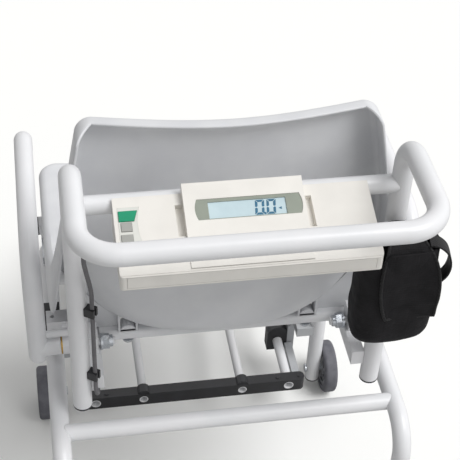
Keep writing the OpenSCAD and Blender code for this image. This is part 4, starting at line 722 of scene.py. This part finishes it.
# Seven segment figures, as corners in shares of a digit's width and height
SEGMENTS = {
    "top": ((0.06, 1.0), (0.94, 1.0), (0.69, 0.85), (0.31, 0.85)),
    "low": ((0.06, 0.0), (0.31, 0.15), (0.69, 0.15), (0.94, 0.0)),
    "left_high": ((0.0, 0.98), (0.28, 0.83), (0.28, 0.58), (0.14, 0.515), (0.0, 0.56)),
    "left_low": ((0.0, 0.44), (0.14, 0.485), (0.28, 0.42), (0.28, 0.17), (0.0, 0.02)),
    "right_high": ((1.0, 0.98), (1.0, 0.56), (0.86, 0.515), (0.72, 0.58), (0.72, 0.83)),
    "right_low": ((1.0, 0.44), (1.0, 0.02), (0.72, 0.17), (0.72, 0.42), (0.86, 0.485)),
}
DIGIT_XS, DIGIT_V, DIGIT_W, DIGIT_H, DIGIT_LEAN = (10.8, 25.0), 65.9, 11.6, 20.2, 2.0
POINT_OUTLINE = [(22.4, 66.0), (24.6, 66.0), (24.8, 68.9), (22.6, 68.9)]
ARROW_OUTLINE = [(40.4, 73.2), (44.6, 71.2), (44.6, 75.2)]
# The figures start inside the display and stand 0.1 mm proud of its face
DIGITS_LOW, DIGITS_HIGH = -2.8, -2.3


def make_digits():
    """The reading 0.0 in leaning seven segment figures, with an arrow beside it."""
    outlines = []
    for x0 in DIGIT_XS:
        for corners in SEGMENTS.values():
            outlines.append([(x0 + cx * DIGIT_W + cy * DIGIT_LEAN, DIGIT_V + cy * DIGIT_H)
                             for cx, cy in corners])
    outlines += [POINT_OUTLINE, ARROW_OUTLINE]
    points, faces = plate(outlines, DIGITS_LOW, DIGITS_HIGH)
    piece = new_piece("lcd_figures", points, faces, digit_ink, crease=20)
    tidy_mesh(piece, 1e-7)
    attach(piece, FRAME_BODY)


make_digits()


# Pouch

POUCH_LEFT, POUCH_RIGHT, POUCH_REAR, POUCH_FRONT, POUCH_FOOT = 148, 252, -84, -18, 607
POUCH_WALL, POUCH_SQUARENESS, FOOT_SHARE, SIDE_BULGE = 2.2, 3.6, 0.16, 4
FLAP_PROFILE = [(-22, 774), (-30, 780), (-44, 783), (-60, 782), (-72, 777), (-80, 767), (-85, 752),
                (-87, 735), (-87.5, 715), (-87, 695), (-86, 678), (-85, 664)]
FLAP_T, BINDING_D = 2.0, 4.2
UPRIGHT_X, STRAP_R, STRAP_W, STRAP_T, LOOP_W = 209, 15, 25, 2.2, 22
STRAP_ZS = (730.5, 667.5)
SIDE_LOOP = [(234, -66, 780), (246, -68, 778), (258, -70, 767), (264, -71, 750), (263, -71, 734),
             (257, -71, 723), (248, -71, 715)]


def ripple(p, size_mm, depth_mm, seed=0.0):
    """Small repeatable unevenness of cloth at a place given in millimetres."""
    return depth_mm * noise.noise(Vector((p[0] / size_mm + seed, p[1] / size_mm - seed, p[2] / size_mm)))


def pouch_top(x):
    """Upper edge of the pouch's body: low by the console, high under the flap."""
    share = min(1, max(0, (x - 160) / 20))
    return 748 + 26 * share * share * (3 - 2 * share)


def pouch_section(level, angle, inset):
    """Place on the pouch's wall; level runs from the foot to the upper edge."""
    c, s = math.cos(angle), math.sin(angle)
    power = 2 / POUCH_SQUARENESS
    ex = math.copysign(abs(c) ** power, c)
    ey = math.copysign(abs(s) ** power, s)
    middle_x, middle_y = (POUCH_LEFT + POUCH_RIGHT) / 2, (POUCH_REAR + POUCH_FRONT) / 2
    # The contents press the lower half out, and the foot rounds in
    foot = math.sqrt(max(0, 1 - (1 - min(1, level / FOOT_SHARE)) ** 2))
    belly = 1 - 0.09 * (level - 0.35) ** 2
    half_x = (POUCH_RIGHT - POUCH_LEFT) / 2 * belly * (0.62 + 0.38 * foot) - inset
    half_y = (POUCH_FRONT - POUCH_REAR) / 2 * belly * (0.5 + 0.5 * foot) - inset
    x = middle_x + half_x * ex + SIDE_BULGE * max(0, ex) * math.sin(math.pi * min(1, level / 0.75))
    top = pouch_top(x)
    z = POUCH_FOOT + (top - POUCH_FOOT) * level + inset * (1 - level)
    y = middle_y + half_y * ey
    # Soft folds run down from the straps
    fold = 1.6 * math.sin(x / 9 + z / 37) * min(1, level * 2) * (0.4 + 0.6 * (1 - level))
    dent = ripple((x, y, z), 34, 5.0)
    room = min(1.0, max(0.0, (POUCH_FRONT - 3 - y) / 10))
    if ey < 0:
        y += dent * 0.6 - abs(fold) * 0.4
    return Vector((x + 0.5 * dent * ex * room, min(POUCH_FRONT, y), z))


def make_pouch():
    around, up = 72, 44
    levels = [k / (up - 1) for k in range(up)]
    angles = [math.tau * k / around for k in range(around)]
    points, uvs = [], []
    for inset in (0.0, POUCH_WALL):
        for level in (levels if inset == 0 else levels[::-1]):
            for angle in angles:
                p = pouch_section(level, angle, inset)
                points.append(chair(*p))
                uvs.append((angle / math.tau * 0.36, p.z / 1000))
    rows = 2 * up
    faces = quads(rows, around, closed=True)
    for row, flip in ((0, True), (rows - 1, False)):
        centre = sum((points[row * around + k] for k in range(around)), Vector()) / around
        points.append(centre)
        uvs.append((0.18, centre.z))
        hub = len(points) - 1
        for k in range(around):
            face = (row * around + k, row * around + (k + 1) % around, hub)
            faces.append(face[::-1] if flip else face)
    piece = new_piece("pouch_body", points, faces, pouch_cloth, crease=75, uvs=uvs)
    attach(piece, FRAME_BODY)
    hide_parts("accessory_pouch")


def flap_point(s, t):
    """Place on the flap: s across from its left edge, t from its front over the top and down."""
    last = len(FLAP_PROFILE) - 1
    k = min(last - 1, int(t * last))
    knots = [FLAP_PROFILE[min(last, max(0, k + step))] for step in (-1, 0, 1, 2)]
    y, z = [between(*four, t * last - k) for four in zip(*knots)]
    left = 185 - 13 * math.sin(math.pi * min(1, max(0, (t - 0.27) / 0.73)))
    right = 227 + 24 * math.sin(math.pi / 2 * min(1, max(0, (t - 0.3) / 0.5)))
    x = left + (right - left) * s
    sag = 1.5 * math.sin(math.pi * s) * t
    y += ripple((x, y, z), 26, 2.6, 3.0) * (0.3 + t) + sag * 0.8 - 3.5 * (2 * s - 1) ** 2 + 2.4
    # The lower hem hangs a little in its middle
    hem = 2.2 * math.sin(math.pi * s) if t > 0.95 else 0
    return Vector((x, y, z - hem))


def make_flap():
    across, down = 30, 44
    sheet = [[flap_point(j / (across - 1), i / (down - 1)) for j in range(across)]
             for i in range(down)]
    points, uvs, faces = [], [], []
    for side in (1, -1):
        for i in range(down):
            for j in range(across):
                a = sheet[min(down - 1, i + 1)][j] - sheet[max(0, i - 1)][j]
                b = sheet[i][min(across - 1, j + 1)] - sheet[i][max(0, j - 1)]
                out = a.cross(b).normalized()
                p = sheet[i][j] - out * FLAP_T / 2 * side
                points.append(chair(*p))
                uvs.append((p.x / 1000, (i / down) * 0.16))
    faces += quads(down, across)
    faces += quads(down, across, base=down * across, flip=True)
    edge = [(0, j) for j in range(across)] + [(i, across - 1) for i in range(1, down)]
    edge += [(down - 1, j) for j in range(across - 2, -1, -1)]
    edge += [(i, 0) for i in range(down - 2, 0, -1)]
    for k, (i, j) in enumerate(edge):
        i2, j2 = edge[(k + 1) % len(edge)]
        a, b = i * across + j, i2 * across + j2
        faces.append((a, a + down * across, b + down * across, b))
    piece = new_piece("pouch_flap", points, faces, pouch_cloth, crease=60, uvs=uvs)
    tidy_mesh(piece, 1e-7)
    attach(piece, FRAME_BODY)
    rim = [chair(*sheet[i][j]) for i, j in edge]
    points, faces = sweep(rim, circle(BINDING_D / 2000, 8), Vector((0, 0, 1)), closed=True)
    uvs = [(k % 8 * 0.0015, k // 8 * 0.003) for k in range(len(points))]
    binding = new_piece("flap_binding", points, faces, strap_webbing, crease=80, uvs=uvs)
    tidy_mesh(binding, 1e-7)
    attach(binding, FRAME_BODY)


def band(name, path, width, thick, closed=False, side=(0, 0, 1)):
    """Flat webbing whose width starts out along side, with softly rounded edges."""
    profile = [(-width / 2, -thick / 2), (-width / 2 + thick, -thick / 2 * 1.15),
               (width / 2 - thick, -thick / 2 * 1.15), (width / 2, -thick / 2),
               (width / 2, thick / 2), (width / 2 - thick, thick / 2 * 1.15),
               (-width / 2 + thick, thick / 2 * 1.15), (-width / 2, thick / 2)]
    profile = [(a / 1000, b / 1000) for a, b in profile]
    points, faces = sweep(path, profile, Vector(side), closed)
    uvs = [(profile[k % 8][0], k // 8 * 0.002) for k in range(len(points))]
    piece = new_piece(name, points, faces, strap_webbing, crease=60, uvs=uvs)
    tidy_mesh(piece, 1e-7)
    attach(piece, FRAME_BODY)
    return piece


def make_straps():
    rings = []
    for number, z in enumerate(STRAP_ZS):
        path = [chair(UPRIGHT_X + a, b, z) for a, b in circle(STRAP_R, 40)]
        rings.append(band(f"pouch_strap_{number + 1}", path, STRAP_W, STRAP_T, closed=True))
    for ring in rings:
        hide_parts("pouch_straps")
    path = spline([chair(*p) for p in SIDE_LOOP], 5)
    band("pouch_side_loop", path, LOOP_W, STRAP_T, side=(0, 1, 0))


make_pouch()
make_flap()
make_straps()


# Floor and light


def make_floor():
    """Pale studio floor. It is brightened for the camera alone, so the shadow stays."""
    material, tree, shader = finish("studio_floor", "#FFFFFF", 0.9, Specular_IOR_Level=0.0)
    seen = add_node(tree, "ShaderNodeLightPath").outputs["Is Camera Ray"]
    mix = add_node(tree, "ShaderNodeMix", {0: seen, 6: linear("#BCBCBB"), 7: linear("#FAFAF8")},
                   data_type="RGBA")
    tree.links.new(mix.outputs[2], shader.inputs["Base Color"])
    half = 9.0
    corners = [(-half, -half, 0), (half, -half, 0), (half, half, 0), (-half, half, 0)]
    floor = new_piece("studio_floor", corners, [(0, 1, 2, 3)], material)
    floor.location.z = -0.0005


def make_world():
    world = bpy.data.worlds.new("studio_air")
    scene.world = world
    world.use_nodes = True
    tree = world.node_tree
    tree.nodes.clear()
    path = add_node(tree, "ShaderNodeLightPath")
    seen = add_node(tree, "ShaderNodeMath", {
        0: path.outputs["Is Camera Ray"], 1: path.outputs["Is Glossy Ray"]}, operation="MAXIMUM")
    seen = add_node(tree, "ShaderNodeMath", {
        0: seen.outputs["Value"], 1: path.outputs["Is Transmission Ray"]}, operation="MAXIMUM")
    # The air is brighter to the right, where the photograph's large lamp stands
    towards = add_node(tree, "ShaderNodeTexCoord").outputs["Generated"]
    sides = add_node(tree, "ShaderNodeSeparateXYZ", {"Vector": towards})
    level = add_node(tree, "ShaderNodeMapRange", {
        "Value": sides.outputs["X"], "From Min": -0.9, "From Max": 0.9, "To Min": 0.2, "To Max": 0.85})
    air = add_node(tree, "ShaderNodeBackground", {
        "Color": (1, 1, 1, 1), "Strength": level.outputs["Result"]})
    white = add_node(tree, "ShaderNodeBackground", {"Color": (1, 1, 1, 1), "Strength": 1.0})
    mix = add_node(tree, "ShaderNodeMixShader", {
        0: seen.outputs["Value"], 1: air.outputs["Background"], 2: white.outputs["Background"]})
    add_node(tree, "ShaderNodeOutputWorld", {"Surface": mix.outputs["Shader"]})


def make_sun(name, towards, strength, angle):
    data = bpy.data.lights.new(name, "SUN")
    data.energy = strength
    data.angle = math.radians(angle)
    lamp = bpy.data.objects.new(name, data)
    lamp.rotation_mode = "QUATERNION"
    lamp.rotation_quaternion = Vector(towards).to_track_quat("Z", "Y")
    scene.collection.objects.link(lamp)


make_floor()
make_world()
make_sun("key_softbox", (0.55, -0.38, 1.0), 2.0, 35)
